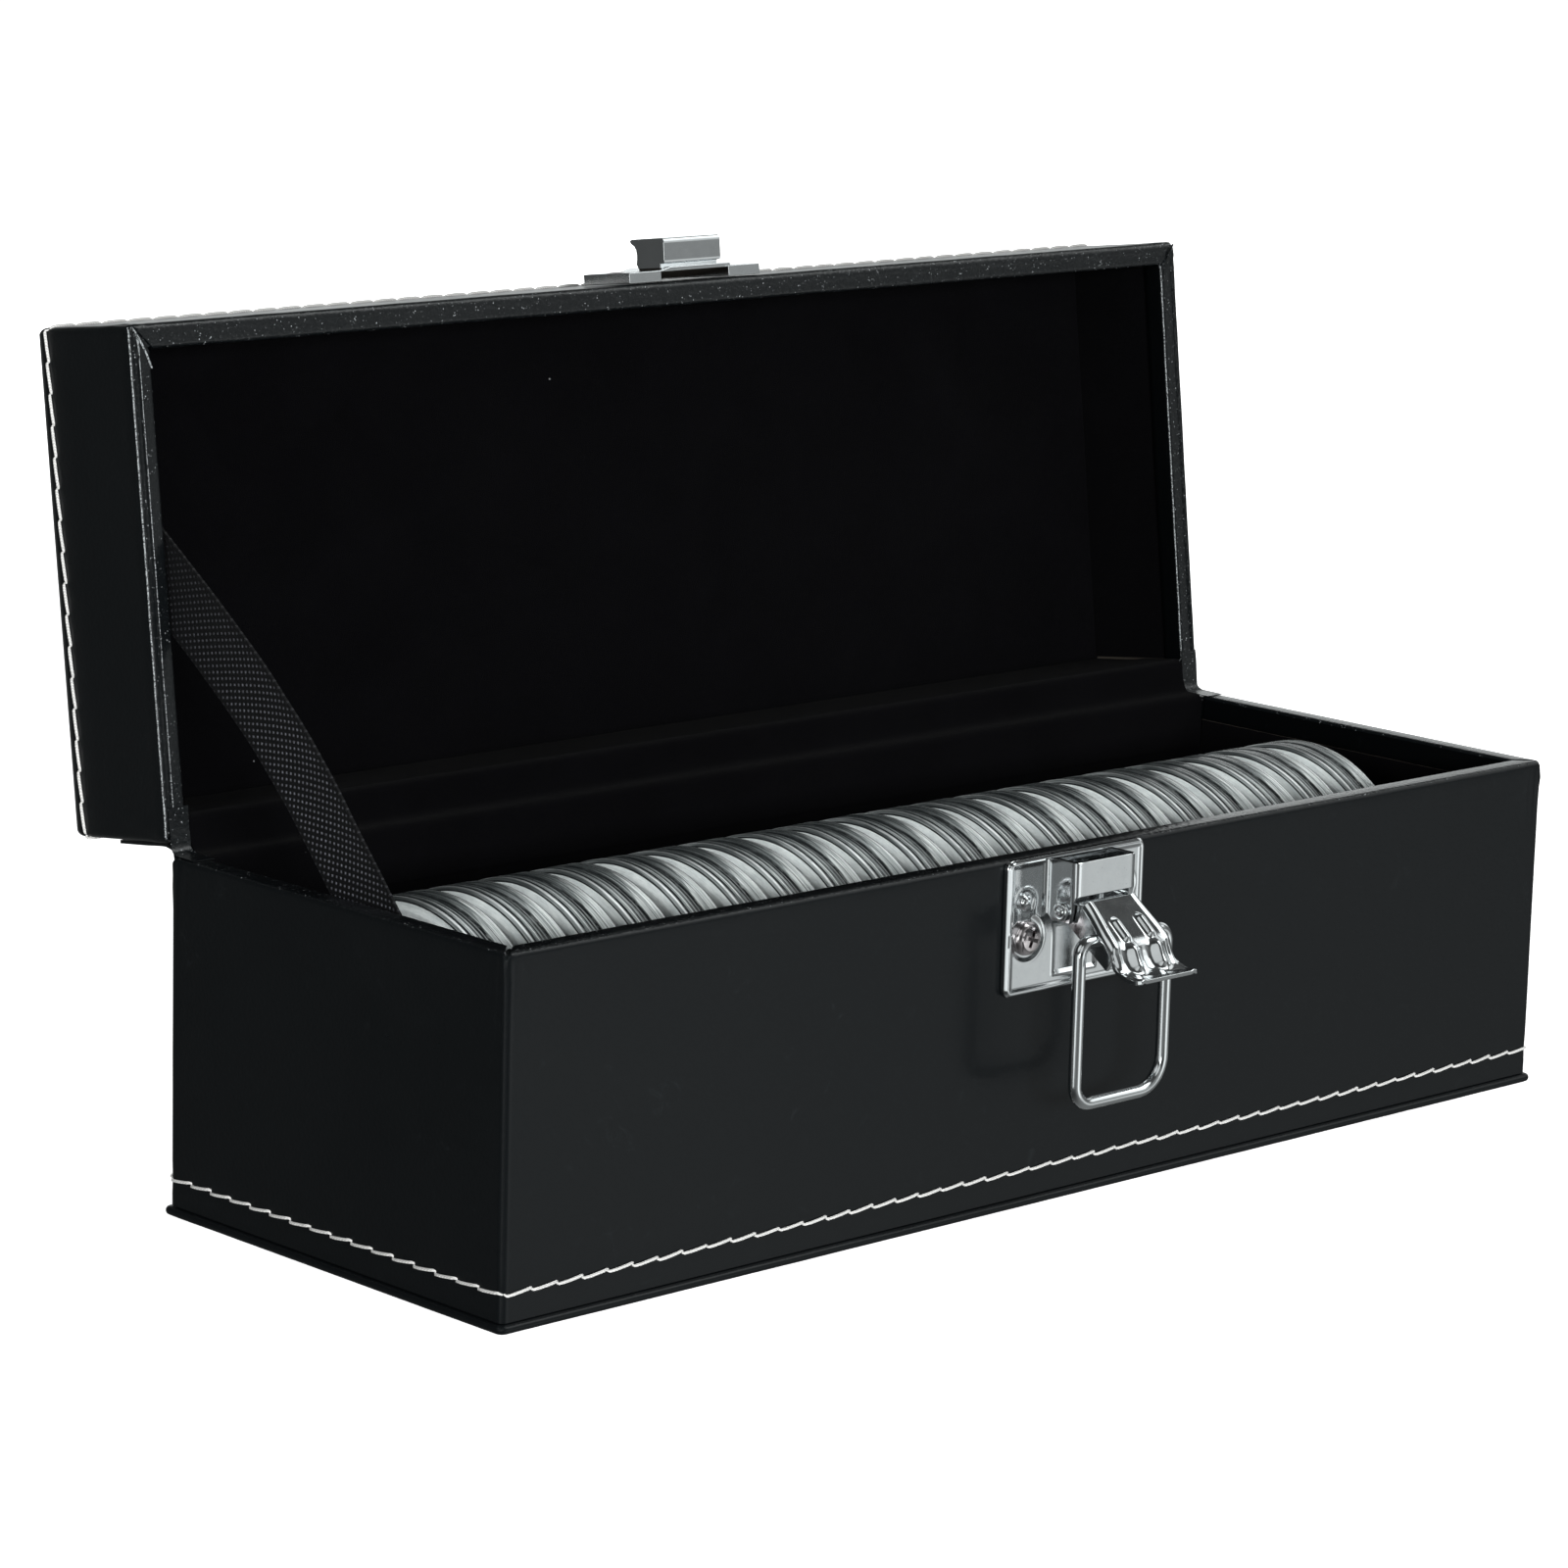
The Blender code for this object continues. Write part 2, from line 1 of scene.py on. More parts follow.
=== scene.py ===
"""A leather-covered case for twenty round plastic capsules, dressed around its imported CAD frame.

Lengths are in millimetres up to add_piece, which writes metres. X runs along the row of capsules, -Y is the
latch side and Z is up. The lid's pieces are drawn on the closed lid and turned open about the hinge.
"""

import math
import random

import bmesh
import bpy
from mathutils import Matrix, Vector, noise


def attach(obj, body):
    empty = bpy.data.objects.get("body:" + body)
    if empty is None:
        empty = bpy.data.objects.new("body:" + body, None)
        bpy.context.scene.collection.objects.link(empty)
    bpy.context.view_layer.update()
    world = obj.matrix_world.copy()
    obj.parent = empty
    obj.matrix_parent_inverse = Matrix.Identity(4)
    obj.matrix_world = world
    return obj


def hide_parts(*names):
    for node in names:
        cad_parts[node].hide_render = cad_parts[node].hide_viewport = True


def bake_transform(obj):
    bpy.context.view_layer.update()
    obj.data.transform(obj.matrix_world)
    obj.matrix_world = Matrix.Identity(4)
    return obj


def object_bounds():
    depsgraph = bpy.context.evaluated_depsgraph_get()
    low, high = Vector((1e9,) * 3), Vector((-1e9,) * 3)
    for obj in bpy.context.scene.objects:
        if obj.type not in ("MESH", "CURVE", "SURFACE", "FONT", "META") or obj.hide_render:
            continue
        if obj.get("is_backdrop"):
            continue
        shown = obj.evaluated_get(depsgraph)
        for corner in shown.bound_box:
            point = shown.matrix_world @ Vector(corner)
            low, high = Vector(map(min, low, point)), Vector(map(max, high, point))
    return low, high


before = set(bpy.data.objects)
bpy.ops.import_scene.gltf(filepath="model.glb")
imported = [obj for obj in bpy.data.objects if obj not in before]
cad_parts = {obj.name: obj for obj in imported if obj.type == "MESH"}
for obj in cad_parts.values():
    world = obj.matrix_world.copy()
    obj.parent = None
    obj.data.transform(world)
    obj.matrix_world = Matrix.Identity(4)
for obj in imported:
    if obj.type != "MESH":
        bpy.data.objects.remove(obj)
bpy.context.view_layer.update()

MM = 0.001

# the case
HALF_X, HALF_Y = 117.5, 40.0
TRAY_LOW, TRAY_TOP = 1.6, 57.2
WALL = 4.0
SKIN = 0.5
LINING_OUT = WALL - SKIN
TURN_IN = 4.3
CORNER = 1.2
FLOOR_TOP = 3.0
FOOT_LIP = 0.8
LID_RIM = 57.6
LID_TOP = 83.1
LID_EDGE = 3.0
LID_BOARD_TOP = 79.9
HINGE_Y, HINGE_Z = 41.0, 58.0
LID_OPEN = math.radians(97.3)

# the capsules
CAPSULES = 20
PITCH = 10.37
CAPSULE_R = 25.9
CAPSULE_THICK = 8.7
CAPSULE_Z = 30.0

# the middle of the ribbon as (y, z), from the tray's end wall to the lid's
RIBBON_WIDTH = 12.0
RIBBON_X = -112.9
RIBBON_LINE = (
    (-16.0, 42.0), (-8.5, 50.2), (-1.0, 58.2), (5.5, 65.1), (11.5, 71.4),
    (17.8, 77.3), (25.5, 83.8), (33.5, 89.8), (41.5, 95.4), (49.5, 100.7), (57.5, 105.8),
)

# the latch: its plate, the housing and pin, the lever, the wire bail and the catch on the lid
PLATE_HALF_X = 15.5
PLATE_LOW = 35.2
PLATE_BACK = -40.2
PLATE_FRONT = -41.4
SCREW = (10.9, 44.4)
RIVET = (11.4, 50.2)
HOLE, HOLE_R = (0.85, 40.4), 1.15
DISH_DEPTH = 0.68
HOUSING_HALF_X, HOUSING_FRONT, HOUSING_SHEET = 6.85, -47.6, 0.8
PIVOT_Y, PIVOT_Z = -44.8, 48.8
LEVER_REST = math.radians(50.0)
LEVER_HALF, LEVER_TOP, LEVER_SHEET = 6.8, 5.9, 0.7
BAIL_Y, BAIL_Z = -51.702, 45.358
BAIL_LENGTH = 26.2
BAIL_HALF_X = 9.95
BAIL_SHOULDER = 2.2
BAIL_BENDS = (3.4, 5.4)
WIRE_R = 1.08
CATCH_BACK, CATCH_OUTER, CATCH_BRIDGE = -40.2, -42.0, -42.5


# ---------------------------------------------------------------- shapes

def turned(y, z, angle, centre_y, centre_z):
    """A point turned about the X axis through a centre, positive from +Y towards +Z."""
    dy, dz = y - centre_y, z - centre_z
    return (
        centre_y + dy * math.cos(angle) - dz * math.sin(angle),
        centre_z + dy * math.sin(angle) + dz * math.cos(angle),
    )


def on_open_lid(point):
    """Where a point of the closed lid is with the lid open."""
    return (point[0], *turned(point[1], point[2], -LID_OPEN, HINGE_Y, HINGE_Z))


def opened(*section):
    """(y, z) points of a section through the closed lid, with the lid open."""
    return [turned(y, z, -LID_OPEN, HINGE_Y, HINGE_Z) for y, z in section]


def on_lever(point):
    """From (across, down, out) on the hanging lever to where it rests."""
    across, down, out = point
    return (across, *turned(PIVOT_Y - out, PIVOT_Z - down, -LEVER_REST, PIVOT_Y, PIVOT_Z))


def as_drawn(point):
    """A point that needs no turning."""
    return point


def smooth_step(edge0, edge1, value):
    """0 below the first edge, 1 above the second, smooth between."""
    t = min(max((value - edge0) / (edge1 - edge0), 0.0), 1.0)
    return t * t * (3 - 2 * t)


def directions(path):
    """The unit direction of a path at each of its points."""
    pairs = zip([path[0], *path[:-1]], [*path[1:], path[-1]])
    return [(after - before).normalized() for before, after in pairs]


def circle(count):
    """Angles evenly spaced on one turn."""
    return [2 * math.pi * step / count for step in range(count)]


def loft(loops, closed=False):
    """Joins loops of equal length in turn, and either back to the first or with a flat cap at each end."""
    count = len(loops[0])
    points = [p for loop in loops for p in loop]
    faces = []
    for n in range(len(loops) if closed else len(loops) - 1):
        here = n * count
        there = (n + 1) % len(loops) * count
        for i in range(count):
            j = (i + 1) % count
            faces.append((here + i, here + j, there + j, there + i))
    if not closed:
        last = (len(loops) - 1) * count
        faces.append(tuple(reversed(range(count))))
        faces.append(tuple(range(last, last + count)))
    return points, faces


def grid_cells(width, rows):
    """The four-sided faces of a grid of points, row by row."""
    corners = [row * width + column for row in range(rows - 1) for column in range(width - 1)]
    return [(a, a + 1, a + width + 1, a + width) for a in corners]


def grid_border(width, rows):
    """Pairs of neighbouring points on one turn round a grid."""
    border = list(range(width)) + [row * width + width - 1 for row in range(1, rows)]
    border += [(rows - 1) * width + column for column in range(width - 2, -1, -1)]
    border += [row * width for row in range(rows - 2, 0, -1)]
    return list(zip(border, border[1:] + border[:1]))


def slab(front, back, width):
    """A thin solid between two grids of points with the same number of points to a row."""
    total = len(front)
    faces = []
    for a, b, c, d in grid_cells(width, total // width):
        faces += [(a, b, c, d), (total + a, total + d, total + c, total + b)]
    faces += [(a, b, total + b, total + a) for a, b in grid_border(width, total // width)]
    return front + back, faces


def joined(*shapes):
    """Several (points, faces) shapes as one."""
    points, faces = [], []
    for some_points, some_faces in shapes:
        start = len(points)
        points += list(some_points)
        faces += [tuple(start + i for i in face) for face in some_faces]
    return points, faces


def prism(outline, x0, x1):
    """A solid with one (y, z) outline from x0 to x1."""
    return loft([[(x, y, z) for y, z in outline] for x in (x0, x1)])


def revolve(profile, segments, place):
    """A surface of revolution from (along, radius) pairs; place puts (along, a, b) in the case."""
    angles = circle(segments)
    return loft([[place(along, r * math.cos(a), r * math.sin(a)) for a in angles] for along, r in profile])


def turned_in_y(profile, segments, x, z):
    """A surface of revolution about a line along Y; the profile is (y, radius) pairs."""
    return revolve(profile, segments, lambda along, a, b: (x + a, along, z + b))


def smooth_path(corners, spacing):
    """Points about spacing apart on a smooth curve through the corners."""
    path = []
    padded = [corners[0], *corners, corners[-1]]
    for n in range(1, len(padded) - 2):
        before, start, end, after = (Vector(p) for p in padded[n - 1:n + 3])
        steps = max(1, round((end - start).length / spacing))
        for step in range(steps):
            t = step / steps
            curve = 2 * start + (end - before) * t
            curve += (2 * before - 5 * start + 4 * end - after) * t * t
            curve += (3 * start - before - 3 * end + after) * t ** 3
            path.append(curve / 2)
    path.append(Vector(corners[-1]))
    return path


def tube(path, radius, segments, up=(0, 1, 0)):
    """A round bar along a path; radius may be a number or one number for each point."""
    path = [Vector(p) for p in path]
    angles = circle(segments)
    loops = []
    for n, (here, along) in enumerate(zip(path, directions(path))):
        side = along.cross(Vector(up)).normalized()
        other = side.cross(along)
        r = radius[n] if isinstance(radius, list) else radius
        loops.append([tuple(here + r * (math.cos(a) * side + math.sin(a) * other)) for a in angles])
    return loft(loops)


def in_scene(name, data):
    """A new object in the scene."""
    made = bpy.data.objects.new(name, data)
    bpy.context.scene.collection.objects.link(made)
    return made


def mesh_of(name, shape, place=as_drawn):
    """A shape's mesh, in metres and with its faces turned outwards."""
    points, faces = shape
    mesh = bpy.data.meshes.new(name)
    mesh.from_pydata([Vector(place(p)) * MM for p in points], [], faces)
    bm = bmesh.new()
    bm.from_mesh(mesh)
    bmesh.ops.recalc_face_normals(bm, faces=bm.faces)
    bm.to_mesh(mesh)
    bm.free()
    return mesh


def shade_smooth(mesh, sharp):
    """Smooth shading, broken at edges sharper than an angle in degrees."""
    mesh.polygons.foreach_set("use_smooth", [True] * len(mesh.polygons))
    mesh.set_sharp_from_angle(angle=math.radians(sharp))


def add_piece(name, shape, finish, body, stands_for=(), place=as_drawn, sharp=60.0, uv=None):
    """A visible piece: its mesh, finish, the body it rides on and the CAD nodes it stands for."""
    mesh = mesh_of(name, shape, place)
    mesh.materials.append(finish)
    shade_smooth(mesh, sharp)
    if uv:
        layer = mesh.uv_layers.new(name="cloth")
        for loop in mesh.loops:
            layer.data[loop.index].uv = uv[loop.vertex_index]
    made = in_scene(name, mesh)
    if body:
        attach(made, body)
    if stands_for:
        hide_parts(*stands_for)
    return made


def bevelled(obj, width, segments, angle, flat=False):
    """Rounds a piece's sharp edges; its faces may be kept shading flat between them."""
    step = obj.modifiers.new("rounded edges", "BEVEL")
    step.width = width * MM
    step.segments = segments
    step.limit_method = "ANGLE"
    step.angle_limit = math.radians(angle)
    step.use_clamp_overlap = True
    step.harden_normals = flat


CUT_SHARP = 35.0


def carved(obj, *shapes):
    """Cuts shapes out of a piece for good."""
    for shape in shapes:
        cutter = in_scene("cutter", mesh_of("cutter", shape))
        step = obj.modifiers.new("cut", "BOOLEAN")
        step.operation = "DIFFERENCE"
        step.solver = "EXACT"
        step.object = cutter
        bpy.context.view_layer.update()
        graph = bpy.context.evaluated_depsgraph_get()
        made = bpy.data.meshes.new_from_object(obj.evaluated_get(graph))
        obj.modifiers.remove(step)
        obj.data = made
        bpy.data.objects.remove(cutter)
    shade_smooth(obj.data, CUT_SHARP)


# ---------------------------------------------------------------- finishes

def add_node(tree, kind, inputs=None, **settings):
    """A shader node; each input is a socket to link or a value to set."""
    made = tree.nodes.new(kind)
    for key, value in settings.items():
        setattr(made, key, value)
    for key, value in (inputs or {}).items():
        if isinstance(value, bpy.types.NodeSocket):
            tree.links.new(value, made.inputs[key])
        else:
            made.inputs[key].default_value = value
    return made


class Finish:
    """A material being made. Its coordinates are the piece's own, in millimetres."""

    def __init__(self, name, **sockets):
        self.material = bpy.data.materials.new(name)
        self.material.use_nodes = True
        self.tree = self.material.node_tree
        self.surface = self.tree.nodes["Principled BSDF"]
        for socket, value in sockets.items():
            self.surface.inputs[socket.replace("_", " ")].default_value = value
        where = self.node("ShaderNodeTexCoord").outputs["Object"]
        to_mm = {0: where, "Scale": 1 / MM}
        self.place = self.node("ShaderNodeVectorMath", to_mm, operation="SCALE").outputs[0]

    def node(self, kind, inputs=None, **settings):
        return add_node(self.tree, kind, inputs, **settings)

    def math(self, operation, a, b=0.0, c=0.0):
        return self.node("ShaderNodeMath", {0: a, 1: b, 2: c}, operation=operation).outputs[0]

    def times(self, a, b):
        return self.math("MULTIPLY", a, b)

    def plus(self, a, b):
        return self.math("ADD", a, b)

    def noise(self, scale, detail=3.0, roughness=0.55, where=None, distortion=0.0):
        inputs = {
            "Vector": where or self.place, "Scale": scale, "Detail": detail,
            "Roughness": roughness, "Distortion": distortion,
        }
        return self.node("ShaderNodeTexNoise", inputs).outputs[0]

    def cells(self, scale, feature="F1"):
        inputs = {"Vector": self.place, "Scale": scale}
        return self.node("ShaderNodeTexVoronoi", inputs, feature=feature).outputs["Distance"]

    def remap(self, value, low, high, to_low=0.0, to_high=1.0):
        inputs = {"Value": value, "From Min": low, "From Max": high, "To Min": to_low, "To Max": to_high}
        return self.node("ShaderNodeMapRange", inputs, clamp=True).outputs["Result"]

    def mixed(self, factor, first, second):
        """Two colours mixed; each is a socket or (red, green, blue)."""
        made = self.tree.nodes.new("ShaderNodeMix")
        made.data_type = "RGBA"
        sockets = {s.identifier: s for s in made.inputs}
        for name, value in (("Factor_Float", factor), ("A_Color", first), ("B_Color", second)):
            if isinstance(value, bpy.types.NodeSocket):
                self.tree.links.new(value, sockets[name])
            else:
                sockets[name].default_value = (*value, 1.0) if isinstance(value, tuple) else value
        return next(s for s in made.outputs if s.identifier == "Result_Color")

    def bump(self, height, depth):
        """A bump whose height runs from 0 to depth, in millimetres."""
        inputs = {"Height": height, "Distance": depth * MM}
        return self.node("ShaderNodeBump", inputs).outputs["Normal"]

    def drive(self, **sockets):
        """Links values to the surface's sockets, named with underscores for spaces."""
        for socket, value in sockets.items():
            self.tree.links.new(value, self.surface.inputs[socket.replace("_", " ")])


LEATHER_DARK = (0.0022, 0.0028, 0.0032)
LEATHER_LIGHT = (0.0034, 0.0042, 0.0048)


def leather(name, grain, gloss=0.12, rough=0.28, shine=0.15, glints=0.0, tone=1.0):
    """Black coated leather: fine pebbles, changes of gloss, dull scuffs and, with glints, pale specks and
    streaks painted on as glints of light off the worn grain.
    """
    made = Finish(name, Specular_IOR_Level=shine, Coat_Weight=gloss, Coat_Roughness=0.08, Coat_IOR=1.4)
    wander = made.noise(0.5, 2.0)
    pebbles = made.cells(1.5, feature="SMOOTH_F1")
    fine = made.noise(3.2, 3.0)
    height = made.plus(made.times(pebbles, 0.7), made.times(fine, 0.45))
    slow = made.noise(0.035, 4.0, 0.6)
    scuffs = made.remap(made.noise(0.22, 6.0, 0.7, distortion=1.5), 0.62, 0.80)
    dark, light = (tuple(tone * part for part in shade) for shade in (LEATHER_DARK, LEATHER_LIGHT))
    colour = made.mixed(slow, dark, light)
    colour = made.mixed(made.times(scuffs, 0.35 * tone), colour, (0.02, 0.024, 0.026))
    # painted glints: pale specks, and at full glints pale streaks as well, stand in for light caught by the
    # worn grain
    if glints:
        level = 0.66 - 0.2 * glints
        patches = made.remap(made.noise(0.9, 4.0, 0.7), level - 0.06, level + 0.06)
        specks = made.times(made.remap(made.cells(1.9), 0.12, 0.26, 1.0, 0.0), patches)
        worn = made.times(made.remap(made.noise(5.0, 3.0, 0.6), 0.42, 0.58), max(0.0, 2.0 * glints - 1.0))
        shown = made.times(made.math("MAXIMUM", specks, worn), min(1.0, 0.35 + glints))
        colour = made.mixed(shown, colour, (0.30, 0.32, 0.33))
    made.drive(Base_Color=colour)
    dulled = made.remap(slow, 0.3, 0.7, rough - 0.02, rough + 0.06)
    dulled = made.plus(dulled, made.times(scuffs, 0.10))
    made.drive(Roughness=made.plus(dulled, made.times(wander, 0.04)))
    pebbled = made.bump(height, grain)
    made.drive(Normal=pebbled, Coat_Normal=pebbled)
    return made.material


def velvet():
    """Black flocked card, with a little lint."""
    made = Finish("black velvet", Specular_IOR_Level=0.02, Sheen_Weight=0.01, Sheen_Roughness=0.5)
    pile = made.noise(6.0, 4.0, 0.7)
    brushed = made.noise(0.06, 3.0, 0.6, distortion=0.6)
    lint = made.remap(made.cells(0.055), 0.007, 0.011, 1.0, 0.0)
    colour = made.mixed(brushed, (0.0009, 0.0009, 0.0011), (0.0019, 0.0019, 0.0023))
    made.drive(Base_Color=made.mixed(lint, colour, (0.16, 0.165, 0.17)))
    made.drive(Roughness=made.remap(pile, 0.3, 0.7, 0.82, 0.98))
    made.drive(Normal=made.bump(pile, 0.12))
    return made.material


# painted shadow: over this run the ribbon's upper end, where the lid throws its shadow, is painted darker
RIBBON_PAINTED_SHADOW = (48.0, 88.0)  # the run along the ribbon over which its yarns turn darker
YARNS = 4.5  # radians of weave for each millimetre across or along


def woven_ribbon():
    """Black ribbon in a coarse basket weave, with plain selvedges, darker towards the lid's end as painted
    shadow; its map is (across, along) in mm.
    """
    made = Finish("black ribbon", Specular_IOR_Level=0.25, Sheen_Weight=0.03, Sheen_Roughness=0.4)
    cloth = made.node("ShaderNodeUVMap", uv_map="cloth").outputs["UV"]
    split = made.node("ShaderNodeSeparateXYZ", {0: cloth})
    across, along = split.outputs["X"], split.outputs["Y"]
    waves = []
    for sign in (1.0, -1.0):
        slant = made.math("MULTIPLY_ADD", along, sign * YARNS, made.times(across, YARNS))
        waves.append(made.remap(made.math("SINE", slant), -0.08, 0.85))
    yarns = made.times(waves[0], waves[1])
    edge = made.math("ABSOLUTE", across)
    body = made.remap(edge, 5.0, 5.5, 1.0, 0.12)
    frayed = made.noise(0.8, 3.0, where=cloth)
    worn = made.times(made.times(yarns, body), made.remap(frayed, 0.25, 0.7, 0.35, 1.0))
    # painted shadow: the yarns fade to dark towards the lid's end
    yarns_in_painted_shadow = made.times(worn, made.remap(along, *RIBBON_PAINTED_SHADOW, 1.0, 0.10))
    made.drive(Base_Color=made.mixed(yarns_in_painted_shadow, (0.0022, 0.0023, 0.0027), (0.125, 0.130, 0.150)))
    made.drive(Roughness=made.remap(yarns, 0.0, 1.0, 0.75, 0.42))
    made.drive(Normal=made.bump(yarns, 0.16))
    return made.material


def chrome(name, dark=0.0, brushed=0.0, warm=0.0):
    """Bright plated steel with a slight haze, hairline scratches and specks."""
    made = Finish(name, Metallic=1.0)
    haze = made.noise(0.35, 5.0, 0.65)
    along_x = {0: made.place, 1: (0.25, 4.0, 4.0)}
    stretched = made.node("ShaderNodeVectorMath", along_x, operation="MULTIPLY").outputs[0]
    hairs = made.noise(3.0, 4.0, 0.7, where=stretched)
    specks = made.remap(made.cells(0.9), 0.05, 0.09, 1.0, 0.0)
    tone = 1.0 - dark
    dull, bright = ((red * tone, green * tone - warm, blue * tone - warm)
                    for red, green, blue in ((0.68, 0.70, 0.71), (0.80, 0.82, 0.83)))
    colour = made.mixed(haze, dull, bright)
    made.drive(Base_Color=made.mixed(made.times(specks, 0.35), colour, (0.35, 0.36, 0.36)))
    rough = made.remap(haze, 0.3, 0.75, 0.05 + 0.16 * brushed, 0.11 + 0.22 * brushed)
    made.drive(Roughness=made.plus(rough, made.times(specks, 0.15)))
    made.drive(Normal=made.bump(hairs, 0.004 + 0.02 * brushed))
    return made.material


def thread():
    """White bonded thread, two plies twisted."""
    made = Finish("white thread", Specular_IOR_Level=0.35, Sheen_Weight=0.15)
    fuzz = made.noise(5.0, 3.0, 0.7)
    inputs = {"Vector": made.place, "Scale": 1.1, "Distortion": 1.2}
    plies = made.node("ShaderNodeTexWave", inputs, bands_direction="DIAGONAL").outputs["Fac"]
    made.drive(Base_Color=made.mixed(made.times(plies, fuzz), (0.46, 0.46, 0.45), (0.82, 0.82, 0.80)))
    made.drive(Roughness=made.remap(fuzz, 0.3, 0.7, 0.55, 0.8))
    made.drive(Normal=made.bump(plies, 0.08))
    return made.material


def fibreboard():
    """Dark grey pressed board."""
    made = Finish("fibreboard", Specular_IOR_Level=0.2)
    fibres = made.noise(1.8, 6.0, 0.75, distortion=2.0)
    made.drive(Base_Color=made.mixed(fibres, (0.020, 0.018, 0.016), (0.055, 0.048, 0.040)))
    made.drive(Roughness=made.remap(fibres, 0.3, 0.7, 0.8, 0.95))
    made.drive(Normal=made.bump(fibres, 0.1))
    return made.material


def clear_plastic():
    """Clear moulded styrene: a milky face, bands of turned streaks round the edge with dark joints and white
    lines painted as highlights, and painted light and shade: brighter lower down, nearly black at the top and
    dark on the +X side.
    """
    made = Finish("clear plastic", Transmission_Weight=0.05, IOR=1.52, Specular_IOR_Level=0.35,
                  Coat_Weight=0.12, Coat_Roughness=0.05)
    split = made.node("ShaderNodeSeparateXYZ", {0: made.place})
    x, y, z = (split.outputs[axis] for axis in "XYZ")
    radius = made.math("SQRT", made.plus(made.times(y, y), made.times(z, z)))
    angle = made.math("ARCTAN2", z, y)
    chance = made.node("ShaderNodeObjectInfo").outputs["Random"]
    phase = made.times(chance, 70.0)

    def streaks(across, round_rate, scale, detail):
        place = made.node("ShaderNodeCombineXYZ", {
            0: made.times(x, across),
            1: made.times(radius, across),
            2: made.math("MULTIPLY_ADD", angle, round_rate, phase),
        }).outputs[0]
        return made.noise(scale, detail, 0.7, where=place)

    def line(value, middle, half):
        """One on a line of a given half width, fading to nothing beside it."""
        gap = made.math("ABSOLUTE", made.math("SUBTRACT", value, middle))
        return made.remap(gap, half * 0.5, half, 1.0, 0.0)

    coarse = made.remap(streaks(2.1, 2.0, 0.9, 3.0), 0.40, 0.60)
    fine = made.remap(streaks(5.0, 2.6, 1.1, 2.0), 0.40, 0.60)
    mottle = made.remap(streaks(1.0, 9.0, 0.9, 4.0), 0.35, 0.65)
    level = made.plus(made.times(coarse, 0.55), made.times(fine, 0.45))
    wander = made.math("MULTIPLY_ADD", made.math("SUBTRACT", streaks(0.0, 1.6, 1.0, 2.0), 0.5), 0.5, x)
    deep, dim = (0.010, 0.012, 0.013), (0.12, 0.14, 0.14)
    clear, white = (0.62, 0.68, 0.68), (0.92, 0.97, 0.97)
    base = made.mixed(level, dim, (0.42, 0.46, 0.46))
    # painted light and shade: the bright band reaches further in lower down, so each capsule is brighter
    # towards the bottom
    from_top = made.math("ABSOLUTE", made.math("SUBTRACT", angle, math.pi / 2))
    begin = made.remap(from_top, 0.08, 0.55, 2.9, 0.2)
    inside = made.remap(made.math("SUBTRACT", wander, begin), 0.0, 0.15)
    base = made.mixed(inside, base, made.mixed(level, (0.30, 0.34, 0.34), (0.90, 0.95, 0.94)))
    # bands round the edge; the white lines are painted highlights, and the strength of each line varies at
    # random
    for middle, half, colour in (
        (-3.20, 0.24, white), (-2.70, 0.34, deep), (-1.90, 0.12, white), (-1.45, 0.16, deep),
        (-0.68, 0.36, deep), (-0.20, 0.22, (0.30, 0.33, 0.33)), (0.28, 0.32, deep), (1.55, 0.12, dim),
        (2.95, 0.26, white),
    ):
        worn = made.remap(mottle, 0.0, 0.5, 0.55, 1.0)
        base = made.mixed(made.times(line(wander, middle, half), worn), base, colour)
    # painted shade: the +X side of each capsule, away from the light, is painted dark with one paler line;
    # the milky colour goes on the -X face only
    far_side_painted_shade = made.mixed(line(x, 3.75, 0.16), deep, (0.26, 0.29, 0.29))
    base = made.mixed(made.remap(x, 3.15, 3.25), base, far_side_painted_shade)
    # painted shade: the colour turns nearly black towards each capsule's top
    empty = made.plus(from_top, made.times(made.math("SUBTRACT", coarse, 0.5), 0.12))
    base = made.mixed(made.remap(empty, 0.10, 0.50, 0.80, 0.0), base, (0.016, 0.019, 0.020))
    milky = made.mixed(mottle, clear, (0.82, 0.88, 0.87))
    for shape, colour in ((made.remap(radius, 25.35, 25.15), milky), (line(radius, 25.30, 0.16), deep)):
        base = made.mixed(made.times(shape, made.remap(x, -3.0, -3.2)), base, colour)
    made.drive(Base_Color=base)
    made.drive(Roughness=made.remap(coarse, 0.3, 0.7, 0.12, 0.30))
    made.drive(Normal=made.bump(level, 0.05))
    return made.material


LEATHER = leather("black leather", 0.020)
# the rims carry painted glints as pale specks; the edge finish is painted glints, specks and streaks, for the
# rolls that face the lights
LEATHER_RIM = leather("black leather turned in", 0.100, gloss=0.45, rough=0.24, shine=0.26, glints=0.48)
LEATHER_GLINT_EDGE = leather("black leather edge, painted glints", 0.100, gloss=0.80, rough=0.22, shine=0.30, glints=1.0)
# painted shade: the leather inside the box is a darker copy (tone 0.4) of the same leather, with less gloss
LEATHER_SHADED_INSIDE = leather("black leather inside, painted shade", 0.020, gloss=0.02, rough=0.50, shine=0.04, tone=0.4)
VELVET = velvet()
RIBBON = woven_ribbon()
CHROME = chrome("bright plate")
CHROME_WORN = chrome("worn plate", dark=0.05, brushed=0.12, warm=0.07)
THREAD = thread()
BOARD = fibreboard()
PLASTIC = clear_plastic()


# ---------------------------------------------------------------- camera, floor and light

